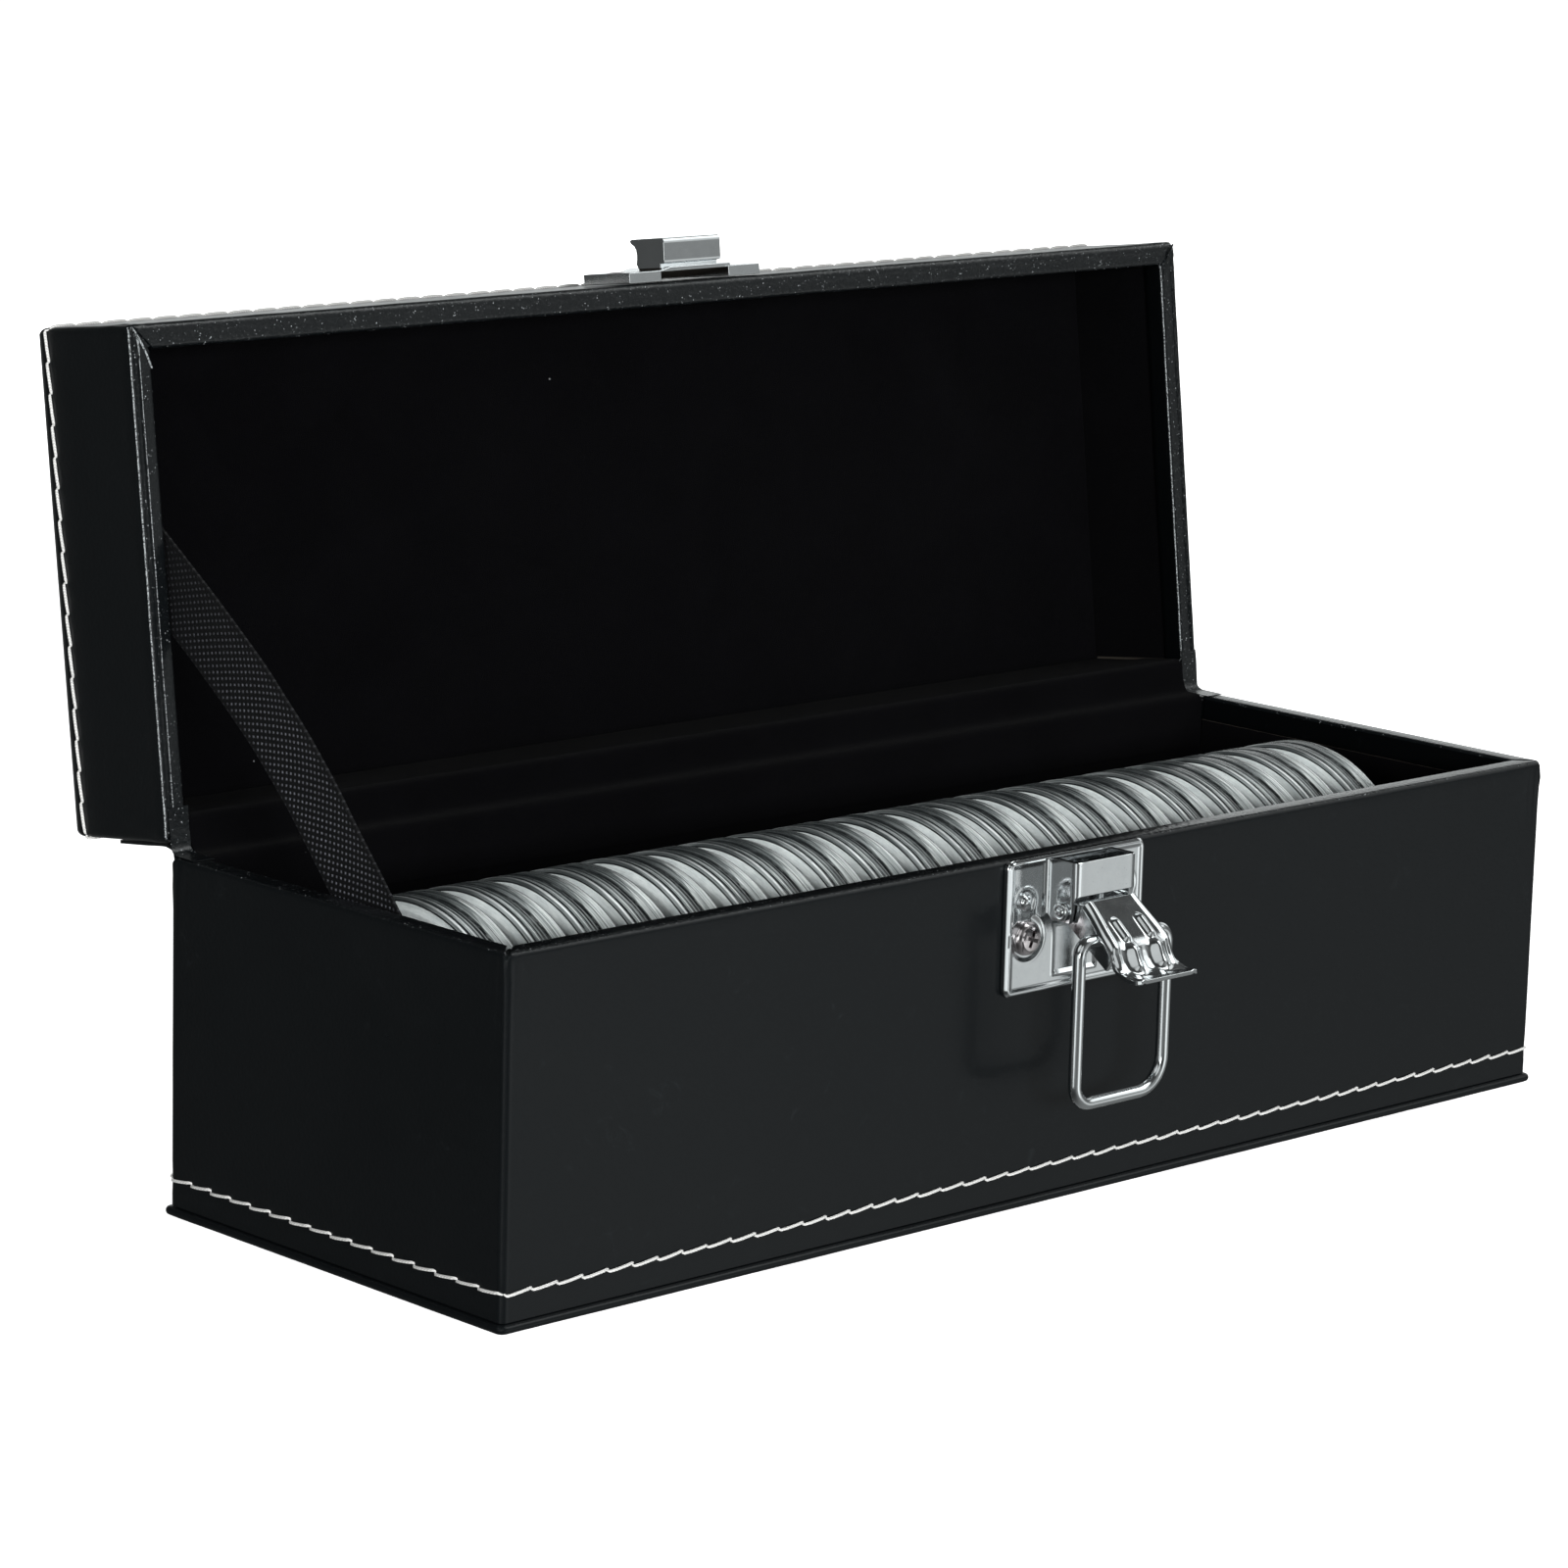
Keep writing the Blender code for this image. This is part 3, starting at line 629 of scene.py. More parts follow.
def make_camera():
    """The photograph's viewpoint: a long lens, low and to the left, tipped a little to one side."""
    azimuth, elevation, roll = (math.radians(a) for a in (-43.594, 11.728, 1.501))
    flat = math.cos(elevation)
    back = Vector((math.sin(azimuth) * flat, -math.cos(azimuth) * flat, math.sin(elevation)))
    right = Vector((0, 0, 1)).cross(back).normalized()
    up = back.cross(right)
    tipped_right = math.cos(roll) * right + math.sin(roll) * up
    tipped_up = math.cos(roll) * up - math.sin(roll) * right
    data = bpy.data.cameras.new("camera")
    data.sensor_width = 36.0
    data.lens = 125.0
    data.clip_start = 0.05
    data.clip_end = 50.0
    made = in_scene("camera", data)
    made.location = (-0.61397, -0.61824, 0.24123)
    made.rotation_mode = "QUATERNION"
    axes = (tipped_right, tipped_up, back)
    made.rotation_quaternion = Matrix([[axis[row] for axis in axes] for row in range(3)]).to_quaternion()
    bpy.context.scene.camera = made


def make_floor():
    """A plain white floor that fades out of view. Gloss on the case mirrors the studio, not the floor."""
    half = 8.0
    corners = [(-half, -half, 0), (half, -half, 0), (half, half, 0), (-half, half, 0)]
    mesh = bpy.data.meshes.new("floor")
    mesh.from_pydata(corners, [], [(0, 1, 2, 3)])
    floor = in_scene("floor", mesh)
    floor.location = (0, 0, -0.0003)
    paint = bpy.data.materials.new("floor paint")
    paint.use_nodes = True
    surface = paint.node_tree.nodes["Principled BSDF"]
    surface.inputs["Base Color"].default_value = (0.93, 0.935, 0.935, 1.0)
    surface.inputs["Roughness"].default_value = 1.0
    surface.inputs["Specular IOR Level"].default_value = 0.0
    surface.inputs["Emission Color"].default_value = (1.0, 1.0, 1.0, 1.0)
    seen = add_node(paint.node_tree, "ShaderNodeLightPath").outputs["Is Camera Ray"]
    lift = add_node(paint.node_tree, "ShaderNodeMath", {0: seen, 1: 0.86}, operation="MULTIPLY")
    paint.node_tree.links.new(lift.outputs[0], surface.inputs["Emission Strength"])
    mesh.materials.append(paint)
    floor.visible_glossy = False
    floor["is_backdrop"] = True


# panels of light round the studio: direction, cosine of the edge's angle, softness, strength
PANELS = (
    ((0.69, 0.72, 0.06), 0.93, 0.05, 0.75), ((0.67, -0.70, -0.26), 0.984, 0.007, 0.28),
    ((-0.675, -0.70, -0.20), 0.982, 0.012, 0.15), ((0.38, -0.89, -0.24), 0.975, 0.010, 0.75),
    ((-0.50, -0.72, 0.48), 0.955, 0.020, 0.65), ((-0.93, -0.36, -0.10), 0.965, 0.012, 0.95),
    ((-0.72, -0.68, 0.05), 0.986, 0.006, 3.0), ((0.45, -0.45, 0.77), 0.95, 0.02, 2.2),
    ((0.69, -0.62, 0.36), 0.965, 0.02, 0.4), ((0.66, -0.48, 0.58), 0.955, 0.015, 0.8),
    ((-0.75, -0.10, 0.65), 0.95, 0.03, 0.8), ((0.9, 0.1, 0.42), 0.965, 0.02, 0.9),
)
# dark flags, which take most of the light away: direction, cosine and softness
FLAGS = (((-0.15, -1.0, -0.05), 0.982, 0.012), ((1.0, -0.10, -0.10), 0.990, 0.006))
FLAG_DEPTH = 0.9
FILL = 0.05


def make_world():
    """A soft studio: bright to the right, dim to the left, with a white backdrop for the camera."""
    world = bpy.data.worlds.new("studio")
    world.use_nodes = True
    bpy.context.scene.world = world
    tree = world.node_tree
    tree.nodes.clear()

    def ramp(value, low, high, to_low, to_high):
        inputs = {"Value": value, "From Min": low, "From Max": high, "To Min": to_low, "To Max": to_high}
        made = add_node(tree, "ShaderNodeMapRange", inputs, clamp=True, interpolation_type="SMOOTHSTEP")
        return made.outputs[0]

    def calc(operation, a, b):
        return add_node(tree, "ShaderNodeMath", {0: a, 1: b}, operation=operation).outputs[0]

    def panel(axis, cosine, soft, strength):
        """A soft round panel of light in one direction."""
        inputs = {0: way, 1: tuple(Vector(axis).normalized())}
        dot = add_node(tree, "ShaderNodeVectorMath", inputs, operation="DOT_PRODUCT").outputs["Value"]
        return ramp(dot, cosine - soft, cosine + soft, 0.0, strength)

    def light(colour, strength):
        return add_node(tree, "ShaderNodeBackground", {"Color": colour, "Strength": strength}).outputs[0]

    def either(factor, first, second):
        return add_node(tree, "ShaderNodeMixShader", {0: factor, 1: first, 2: second}).outputs[0]

    way = add_node(tree, "ShaderNodeTexCoord").outputs["Generated"]
    split = add_node(tree, "ShaderNodeSeparateXYZ", {0: way}).outputs
    level = ramp(split["Z"], -0.14, -0.02, 1.0, 0.72)
    for axis, limits in (
        ("Z", (0.15, 0.60, 1.0, 0.30)), ("Z", (-0.65, -0.35, 0.5, 1.0)), ("X", (0.62, 0.86, 1.0, 0.50)),
    ):
        level = calc("MULTIPLY", level, ramp(split[axis], *limits))
    glow = calc("MULTIPLY", ramp(split["X"], -0.72, 0.45, 0.08, 0.41), level)
    for axis, cosine, soft, strength in PANELS:
        glow = calc("ADD", glow, panel(axis, cosine, soft, strength))
    for axis, cosine, soft in FLAGS:
        glow = calc("MULTIPLY", glow, calc("SUBTRACT", 1.0, panel(axis, cosine, soft, FLAG_DEPTH)))
    path = add_node(tree, "ShaderNodeLightPath").outputs
    studio, fill = light((0.96, 1.0, 1.0, 1.0), glow), light((0.97, 1.0, 1.0, 1.0), FILL)
    lit = either(path["Is Diffuse Ray"], studio, fill)
    seen = either(path["Is Camera Ray"], lit, light((1.0, 1.0, 1.0, 1.0), 1.0))
    add_node(tree, "ShaderNodeOutputWorld", {"Surface": seen})


def add_light(name, place, target, size, power):
    """A soft box, with its place and size in metres."""
    data = bpy.data.lights.new(name, "AREA")
    data.shape = "RECTANGLE"
    data.size, data.size_y = size
    data.energy = power
    made = in_scene(name, data)
    made.location = place
    made.rotation_mode = "QUATERNION"
    made.rotation_quaternion = (Vector(target) - Vector(place)).to_track_quat("-Z", "Y")
    made.visible_glossy = False


make_camera()
make_floor()
make_world()
add_light("key", (-0.64, -1.74, 0.42), (-0.02, 0, 0.05), (0.8, 0.35), 49.0)
add_light("side", (-1.5, -0.40, 0.40), (0, 0, 0.05), (0.5, 0.4), 8.0)
add_light("top", (-0.1, -0.3, 1.9), (0, 0, 0.0), (1.4, 1.2), 3.0)
add_light("back", (0.7, 1.7, 0.5), (0, 0, 0.05), (0.9, 0.5), 22.0)
bpy.context.scene.view_settings.view_transform = "Standard"


# ---------------------------------------------------------------- leather

SIDE_STEPS = (64, 24)  # along the long and the short sides
CORNER_STEPS = 8
BESIDE_CORNER = (0.3, 0.6, 0.9, 1.3, 1.8, 2.4, 3.2, 4.2, 5.6, 7.4)
PANEL_INSET = LID_EDGE + 4.0  # how far in the flat middle of the lid's top panel starts
RIM_EDGE, TURN_EDGE = 0.9, 0.7  # the rounding of a rim outside and inside
RIM_PUCKER = 0.09
FOLD_RISE, FOLD_HOLLOW, FOLD_WRINKLE = 0.36, 0.22, 0.30  # at the mitred corners of a rim
CREASE_INSET, CREASE_DEPTH = 1.3, 0.34  # of the crease along the ends of the lid's rim
# other finishes on the two leathers: first ring, last ring, end of the box (0 for all round), finish
TRAY_RINGS = ((18, 28, 0, LEATHER_RIM), (28, 33, 0, LEATHER_SHADED_INSIDE))
# the edge rings are painted glints, on the outer roll at the left end and the inner roll at the right end,
# the rolls that face the lights
LID_RINGS = (
    (26, 42, 0, LEATHER_RIM),
    (26, 27, -1, LEATHER_GLINT_EDGE),
    (33, 35, -1, LEATHER_GLINT_EDGE),
    (40, 41, 1, LEATHER_GLINT_EDGE),
    (42, 47, 0, LEATHER_SHADED_INSIDE),
)
FOLD_LINE = ((0.5, 0.4), (1.6, 1.9), (2.8, 4.2), (3.8, 6.9))  # a mitred fold, in from the end and the front


def box_outline(inset, corner=CORNER, grow=0.0):
    """One turn round the box, anticlockwise, as (x, y), with points along the straight sides as well."""
    half_x, half_y = HALF_X + grow - inset, HALF_Y + grow - inset
    radius = max(corner - inset, 0.3)
    signs = ((1, -1), (1, 1), (-1, 1), (-1, -1))

    def on_corner(number, angle):
        sx, sy = signs[number % 4]
        x = sx * (half_x - radius) + radius * math.cos(angle)
        return x, sy * (half_y - radius) + radius * math.sin(angle)

    outline = []
    for side in range(4):
        start = math.radians(90 * side - 90)
        turn = [start + math.radians(90) * n / CORNER_STEPS for n in range(CORNER_STEPS + 1)]
        outline += [on_corner(side, angle) for angle in turn]
        last, end = outline[-1], on_corner(side + 1, math.radians(90 * side))
        run = math.hypot(end[0] - last[0], end[1] - last[1])
        steps = SIDE_STEPS[(side + 1) % 2]
        middle = [BESIDE_CORNER[-1] + (run - 2 * BESIDE_CORNER[-1]) * n / steps for n in range(1, steps)]
        for along in list(BESIDE_CORNER) + middle + [run - d for d in reversed(BESIDE_CORNER)]:
            t = along / run
            outline.append((last[0] + (end[0] - last[0]) * t, last[1] + (end[1] - last[1]) * t))
    return outline


def arc(centre_in, centre_z, radius, start, end, steps):
    """Points of an arc in a wall's section, as (inset, height); angles in degrees."""
    angles = [math.radians(start + (end - start) * n / steps) for n in range(steps + 1)]
    return [(centre_in + radius * math.cos(a), centre_z + radius * math.sin(a)) for a in angles]


def pushed_out(x, y, out):
    """A point of the outline moved away from the wall it is on."""
    if HALF_X - abs(x) < HALF_Y - abs(y):
        return x + math.copysign(out, x), y
    return x, y + math.copysign(out, y)


def leather_point(x, y, z, inset, rim, seed):
    """A point of the leather moved by uneven boards, by its puckered rim and by its mitred corners."""
    at = Vector((x, y, z + seed))
    in_x, in_y = HALF_X - abs(x), HALF_Y - abs(y)
    edge = abs(z - rim)
    at_rim = 1.0 - smooth_step(1.0, 6.0, edge)
    boards = noise.noise(at * 0.045) * 0.05 + noise.noise(at * 0.18) * 0.02
    out = boards + at_rim * noise.noise(at * 0.55) * RIM_PUCKER
    lift = 0.0
    if in_x < WALL + 0.9 and in_y < WALL + 0.9 and edge < TURN_IN + 0.6:
        fold = 1.0 - smooth_step(0.10, 0.60, abs(in_x - in_y))
        lift = fold * FOLD_RISE * at_rim
        out -= fold * FOLD_HOLLOW
        out += (1.0 - smooth_step(0.0, 9.0, in_x + in_y)) * noise.noise(at * 0.9) * FOLD_WRINKLE
    if in_x < in_y and rim > TRAY_TOP and z < rim + 0.2:
        crease = 1.0 - smooth_step(0.04, 0.22, abs(inset - CREASE_INSET))
        lift -= CREASE_DEPTH * crease * smooth_step(2.0, 5.0, in_y)
    return *pushed_out(x, y, out), z + (lift if rim > TRAY_TOP else -lift)


def leather_ring(inset, z, rim, seed):
    """One turn of leather round the box."""
    return [leather_point(x, y, z, inset, rim, seed) for x, y in box_outline(inset)]


def panel_ring(z, shrink):
    """One turn on the lid's top panel, drawn in towards the panel's middle line."""
    core_half = HALF_X - HALF_Y
    loop = []
    for x, y in box_outline(PANEL_INSET):
        core = max(-core_half, min(core_half, x))
        x, y = core + (x - core) * shrink, y * shrink
        loop.append((x, y, z + noise.noise(Vector((x, y, 9.0)) * 0.03) * 0.08 * shrink))
    return loop


def rim_section(rim, up, edge):
    """The leather's way round a rim from the outside, as (inset, height), down to where its inside ends."""
    middle = rim + up * TURN_EDGE
    turn = 90 * up
    return (
        arc(RIM_EDGE, rim + up * RIM_EDGE, RIM_EDGE, 180, 180 + turn, 6) + edge
        + arc(WALL - TURN_EDGE, middle, TURN_EDGE, 180 + turn, 180 + 2 * turn, 6)
        + [(WALL, rim + up * d) for d in (2.0, 3.2, TURN_IN - 0.1)]
        + [(WALL - 0.1, rim + up * TURN_IN), (LINING_OUT, rim + up * TURN_IN)]
        + [(LINING_OUT, rim + up * (SKIN + 0.4)), (LINING_OUT - 0.5, rim + up * SKIN)]
        + [(SKIN + 0.4, rim + up * SKIN), (SKIN, rim + up * (SKIN + 0.4))]
    )


def tray_leather_shape():
    """The tray's leather from the foot, up the outside, over the rim and down the inside."""
    section = [(0.0, TRAY_LOW), (0.0, 3.6), (0.05, 5.2), (0.10, 6.0), (0.05, 6.8), (0.0, 9.0)]
    section += [(0.0, z) for z in (14.0, 20.0, 26.0, 32.0, 38.0, 44.0, 49.0, 52.5, 54.6)]
    section += rim_section(TRAY_TOP, -1, [(2.0, TRAY_TOP + 0.03)])
    section.append((SKIN, TRAY_LOW))
    return loft([leather_ring(inset, z, TRAY_TOP, 0.0) for inset, z in section], closed=True)


def lid_leather_shape():
    """The lid's leather: over the top panel, down the walls, round the rim and back under the panel."""
    section = [(PANEL_INSET, LID_TOP), (LID_EDGE + 1.0, LID_TOP)]
    section += arc(LID_EDGE, LID_TOP - LID_EDGE, LID_EDGE, 90, 180, 9)
    section += [(0.0, LID_TOP - 3.4), (0.10, LID_TOP - 4.0), (0.0, LID_TOP - 5.0)]
    section += [(0.0, z) for z in (74.0, 70.0, 66.0, 62.5, 60.2)]
    edge = [(inset, LID_RIM) for inset in (1.1, 1.25, 1.35, 1.5)]
    section += rim_section(LID_RIM, 1, edge + [(1.75, LID_RIM - 0.02), (2.6, LID_RIM - 0.03)])
    section += [(SKIN, LID_TOP - LID_EDGE), (0.9, LID_TOP - 1.7), (1.8, LID_TOP - 0.85)]
    section += [(LID_EDGE, LID_TOP - SKIN), (PANEL_INSET, LID_TOP - SKIN)]
    walls = [leather_ring(inset, z, LID_RIM, 40.0) for inset, z in section]
    shrinks = (0.004, 0.25, 0.5, 0.75)
    above = [panel_ring(LID_TOP, shrink) for shrink in shrinks]
    below = [panel_ring(LID_TOP - SKIN, shrink) for shrink in reversed(shrinks)]
    return loft(above + walls + below)


def foot_shape():
    """The covered base panel, soft along its edges, a little wider than the tray."""
    section = [
        (1.2, 0.0), (0.5, 0.05), (0.15, 0.25), (0.0, 0.6), (0.02, 0.95), (0.2, 1.25),
        (0.6, 1.42), (1.4, 1.45), (3.0, 1.4),
    ]
    loops = []
    for inset, z in section:
        loop = []
        for x, y in box_outline(inset, corner=1.5, grow=FOOT_LIP):
            at = Vector((x, y, z * 3 + 90))
            out = noise.noise(at * 0.08) * 0.10 + noise.noise(at * 0.4) * 0.05 if z else 0.0
            loop.append((*pushed_out(x, y, min(out, 0.08)), z))
        loops.append(loop)
    return loft(loops)


def finish_rings(piece, first, last, side, finish):
    """Gives the faces between two rings of a lofted piece a finish, all round or at one end of the box."""
    outline = box_outline(0.0)
    ring = len(outline)
    if finish.name not in piece.data.materials:
        piece.data.materials.append(finish)
    index = piece.data.materials.find(finish.name)
    for n in range(first * ring, last * ring):
        x, y = outline[n % ring]
        if not side or HALF_X - side * x < HALF_Y - abs(y):
            piece.data.polygons[n].material_index = index


tray_cover = add_piece("tray_leather_cover", tray_leather_shape(), LEATHER, "tray",
                       ["tray_leather"])
lid_cover = add_piece("lid_leather_cover", lid_leather_shape(), LEATHER, "lid",
                      ["lid_leather"], place=on_open_lid)
for cover, rings in ((tray_cover, TRAY_RINGS), (lid_cover, LID_RINGS)):
    for ring in rings:
        finish_rings(cover, *ring)
# painted glints: the left fold takes the edge finish's painted glints, the right one the rim's painted specks
for name, side, finish in (("left", -1.0, LEATHER_GLINT_EDGE), ("right", 1.0, LEATHER_RIM)):
    fold = [(side * (HALF_X - inset), -HALF_Y + back, LID_RIM - 0.02) for inset, back in FOLD_LINE]
    add_piece(f"lid_corner_fold_{name}", tube(smooth_path(fold, 0.5), 0.17, 8, up=(0, 0, 1)), finish, "lid",
              place=on_open_lid)
add_piece("foot_cover", foot_shape(), LEATHER, "tray", ["foot_panel"])


# ---------------------------------------------------------------- stitching

STITCH_PITCH = 5.0
STITCH_INSET = 0.55  # how far in from the box's corners a row starts
# one stitch from hole to hole: the share of its length, the height off the leather, the offset to one side
STITCH = (
    (0.00, -0.45, 0.05), (0.015, -0.05, -0.12), (0.07, 0.12, -0.23), (0.28, 0.19, -0.16), (0.55, 0.20, -0.02),
    (0.80, 0.18, 0.13), (0.93, 0.13, 0.25), (0.99, -0.02, 0.16), (1.00, -0.45, 0.0),
)
STITCH_RADII = [0.15, 0.18, 0.23, 0.25, 0.25, 0.25, 0.23, 0.18, 0.14]


def stitch_row(start, end, outward, seed):
    """Straight stitches along a wall, each one sloping and dipping into its needle holes."""
    start, end, outward = Vector(start), Vector(end), Vector(outward)
    along = (end - start).normalized()
    side = along.cross(outward).normalized()
    if side.z < 0:
        side = -side
    length = (end - start).length
    count = max(1, round(length / STITCH_PITCH))
    step = length / count
    chance = random.Random(seed)
    shapes = []
    for n in range(count):
        first = start + along * (n * step + 0.12)
        wobble = [chance.uniform(-0.08, 0.08) for _ in range(2)]
        path = []
        for t, height, offset in STITCH:
            place = first + along * (t * (step + 0.10))
            place += outward * height + side * (offset + wobble[0] * (1 - t) + wobble[1] * t)
            path.append(place)
        shapes.append(tube(path, STITCH_RADII, 8, up=outward))
    return joined(*shapes)


def stitches_round(name, z, body, seed, place=as_drawn):
    """The stitches of all four walls."""
    x, y = HALF_X - STITCH_INSET, HALF_Y - STITCH_INSET
    rows = (
        ((-x, -HALF_Y, z), (x, -HALF_Y, z), (0, -1, 0)), ((HALF_X, -y, z), (HALF_X, y, z), (1, 0, 0)),
        ((x, HALF_Y, z), (-x, HALF_Y, z), (0, 1, 0)), ((-HALF_X, y, z), (-HALF_X, -y, z), (-1, 0, 0)),
    )
    shape = joined(*(stitch_row(*row, seed + number) for number, row in enumerate(rows)))
    add_piece(name, shape, THREAD, body, place=place, sharp=70.0)


stitches_round("tray_stitching", 6.0, "tray", 11)
stitches_round("lid_stitching", LID_TOP - 4.0, "lid", 31, place=on_open_lid)


# ---------------------------------------------------------------- lining, insert and boards

def padded_card(low, high, face_axis, side, seed, crown=0.12):
    """A thin card with rounded edges whose visible face is slightly crowned and uneven."""
    low, high = Vector(low), Vector(high)
    across, up = (axis for axis in range(3) if axis != face_axis)
    columns, rows = (max(6, int((high[axis] - low[axis]) / 4.0)) for axis in (across, up))
    visible, hidden = (high, low) if side > 0 else (low, high)
    front, back = [], []
    for j in range(rows + 1):
        for i in range(columns + 1):
            u, v = i / columns, j / rows
            point = [0.0, 0.0, 0.0]
            point[across] = low[across] + (high[across] - low[across]) * u
            point[up] = low[up] + (high[up] - low[up]) * v
            near = min(u * columns, (1 - u) * columns, v * rows, (1 - v) * rows)
            dip = 0.16 * (1.0 - smooth_step(0.0, 0.8, near))
            wave = noise.noise(Vector(point) * 0.06 + Vector((seed, 0, 0))) * crown
            point[face_axis] = hidden[face_axis]
            back.append(tuple(point))
            point[face_axis] = visible[face_axis] - side * (dip + crown * 0.5 - wave * 0.5)
            front.append(tuple(point))
    return slab(front, back, columns + 1)


GAP = 0.2  # between a card and what it ends at


def four_cards(low, high):
    """Front, back, left and right lining cards between two heights, with the face that shows."""
    x_out, x_in = HALF_X - LINING_OUT, HALF_X - WALL
    y_out, y_in = HALF_Y - LINING_OUT, HALF_Y - WALL
    y_end = y_in - GAP
    return {
        "front": ((-x_out, -y_out, low), (x_out, -y_in, high), 1, 1),
        "back": ((-x_out, y_in, low), (x_out, y_out, high), 1, -1),
        "left": ((-x_out, -y_end, low), (-x_in, y_end, high), 0, 1),
        "right": ((x_in, -y_end, low), (x_out, y_end, high), 0, -1),
    }


for body, low, high, first_seed, place in (
    ("tray", FLOOR_TOP + GAP, TRAY_TOP - TURN_IN - GAP, 0, as_drawn),
    ("lid", LID_RIM + TURN_IN + GAP, LID_BOARD_TOP, 10, on_open_lid),
):
    for number, (side, card) in enumerate(four_cards(low, high).items()):
        add_piece(f"{body}_lining_{side}_flock", padded_card(*card, seed=first_seed + number), VELVET, body,
                  [f"{body}_lining_{side}"], place=place)
END_X, END_Y = HALF_X - WALL - GAP, HALF_Y - WALL - GAP
TOP_X, TOP_Y = HALF_X - WALL + 0.5, HALF_Y - WALL + 0.5
top_card = ((-TOP_X, -TOP_Y, LID_BOARD_TOP - 0.7), (TOP_X, TOP_Y, LID_BOARD_TOP), 2, -1)
add_piece("lid_lining_top_flock", padded_card(*top_card, seed=20, crown=0.2), VELVET, "lid",
          ["lid_lining_top"], place=on_open_lid)


def insert_shape():
    """The slotted insert: a sheet with low rounded ribs between the capsules."""
    low, sheet_top, rib_top = FLOOR_TOP + GAP, FLOOR_TOP + 0.9, 9.0
    half = (PITCH - CAPSULE_THICK - 0.4) / 2
    rib = [
        (-half - 0.25, sheet_top), (-half, sheet_top + 0.3), (-half, rib_top - 0.35),
        (-half + 0.2, rib_top - 0.08), (0.0, rib_top),
    ]
    rib += [(-x, z) for x, z in reversed(rib[:-1])]
    outline = [(-END_X, low), (-END_X, sheet_top)]
    for n in range(CAPSULES + 1):
        middle = (n - CAPSULES / 2) * PITCH
        outline += [(middle + x, z) for x, z in rib]
    outline += [(END_X, sheet_top), (END_X, low)]
    stations = [-END_Y + 2 * END_Y * n / 12 for n in range(13)]
    return loft([[(x, y, z) for x, z in outline] for y in stations])


add_piece("slotted_insert_flock", insert_shape(), VELVET, "tray",
          ["slotted_insert"], sharp=40.0)

for name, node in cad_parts.items():
    if "board" in name:
        node.data.materials.clear()
        node.data.materials.append(BOARD)


# ---------------------------------------------------------------- capsules

def capsule_profile():
    """A closed capsule as (x, radius): dished centre, raised ring, sloping shoulder, two bands and joint."""
    half = CAPSULE_THICK / 2
    face = [
        (0.55, 0.01), (0.55, 12.0), (0.55, 20.6), (0.50, 21.0), (0.12, 21.35), (0.0, 21.7), (0.0, 23.6),
        (0.03, 24.0), (0.12, 24.25), (0.34, 24.45), (0.50, 24.75), (0.62, 25.15), (0.72, 25.5), (0.90, 25.78),
        (1.15, 25.88), (1.9, CAPSULE_R), (2.0, 25.78), (2.15, 25.78), (2.25, CAPSULE_R), (3.3, CAPSULE_R),
    ]
    joint = [(0.62, CAPSULE_R), (0.50, 25.86), (0.42, 25.66), (0.20, 25.58), (0.0, 25.58)]
    side = [(half - depth, r) for depth, r in face] + joint
    return [(-x, r) for x, r in side] + [(x, r) for x, r in reversed(side[:-1])]


def capsule_mesh():
    """The mesh that all the capsules share."""
    mesh = mesh_of("capsule", revolve(capsule_profile(), 128, lambda along, a, b: (along, a, b)))
    mesh.materials.append(PLASTIC)
    shade_smooth(mesh, 28.0)
    return mesh


CAPSULE_TURNS = (0.06, 0.018, 0.022)  # how far, in radians, a capsule is turned or leans at most
shared_capsule = capsule_mesh()
turns = random.Random(7)
for number in range(CAPSULES):
    label = f"{number + 1:02d}"
    shell = in_scene(f"capsule_shell_{label}", shared_capsule)
    shell.location = Vector(((number - (CAPSULES - 1) / 2) * PITCH, 0.0, CAPSULE_Z)) * MM
    shell.rotation_euler = [turns.uniform(-most, most) for most in CAPSULE_TURNS]
    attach(shell, f"capsule_body_{label}")
    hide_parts(f"capsule_{label}")


# ---------------------------------------------------------------- hinge and ribbon

def bent_strip(path, thick, x0, x1, steps, wrinkle):
    """A thin strip along X with one bent section; thick is laid on the path's left side."""
    path = smooth_path([(0.0, y, z) for y, z in path], 1.0)
    far = [here + Vector((0.0, -along.z, along.y)) * thick for here, along in zip(path, directions(path))]
    outline = path + far[::-1]
    loops = []
    for step in range(steps + 1):
        x = x0 + (x1 - x0) * step / steps
        waves = [noise.noise(Vector((x * 0.10, p.y * 0.2, p.z * 0.2))) * wrinkle for p in outline]
        loops.append([(x, p.y + wave, p.z) for p, wave in zip(outline, waves)])
    return loft(loops)


BACK_Y = 40.15  # the outer strip's inside face
LINING_Y = HALF_Y - WALL - 0.05  # the inner strip's face on the back walls
outer_path = [(BACK_Y, 43.2), (BACK_Y, 50.0), (BACK_Y, 56.6), (40.5, 57.9)]
outer_path += opened((BACK_Y, 59.6), (BACK_Y, 65.0), (BACK_Y, 71.6))
hinge_shape = bent_strip(outer_path, -0.55, -116.2, 116.2, 60, 0.05)
hinge = add_piece("hinge_leather_strip", hinge_shape, LEATHER, None,
                  ["hinge_leather"])
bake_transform(hinge)

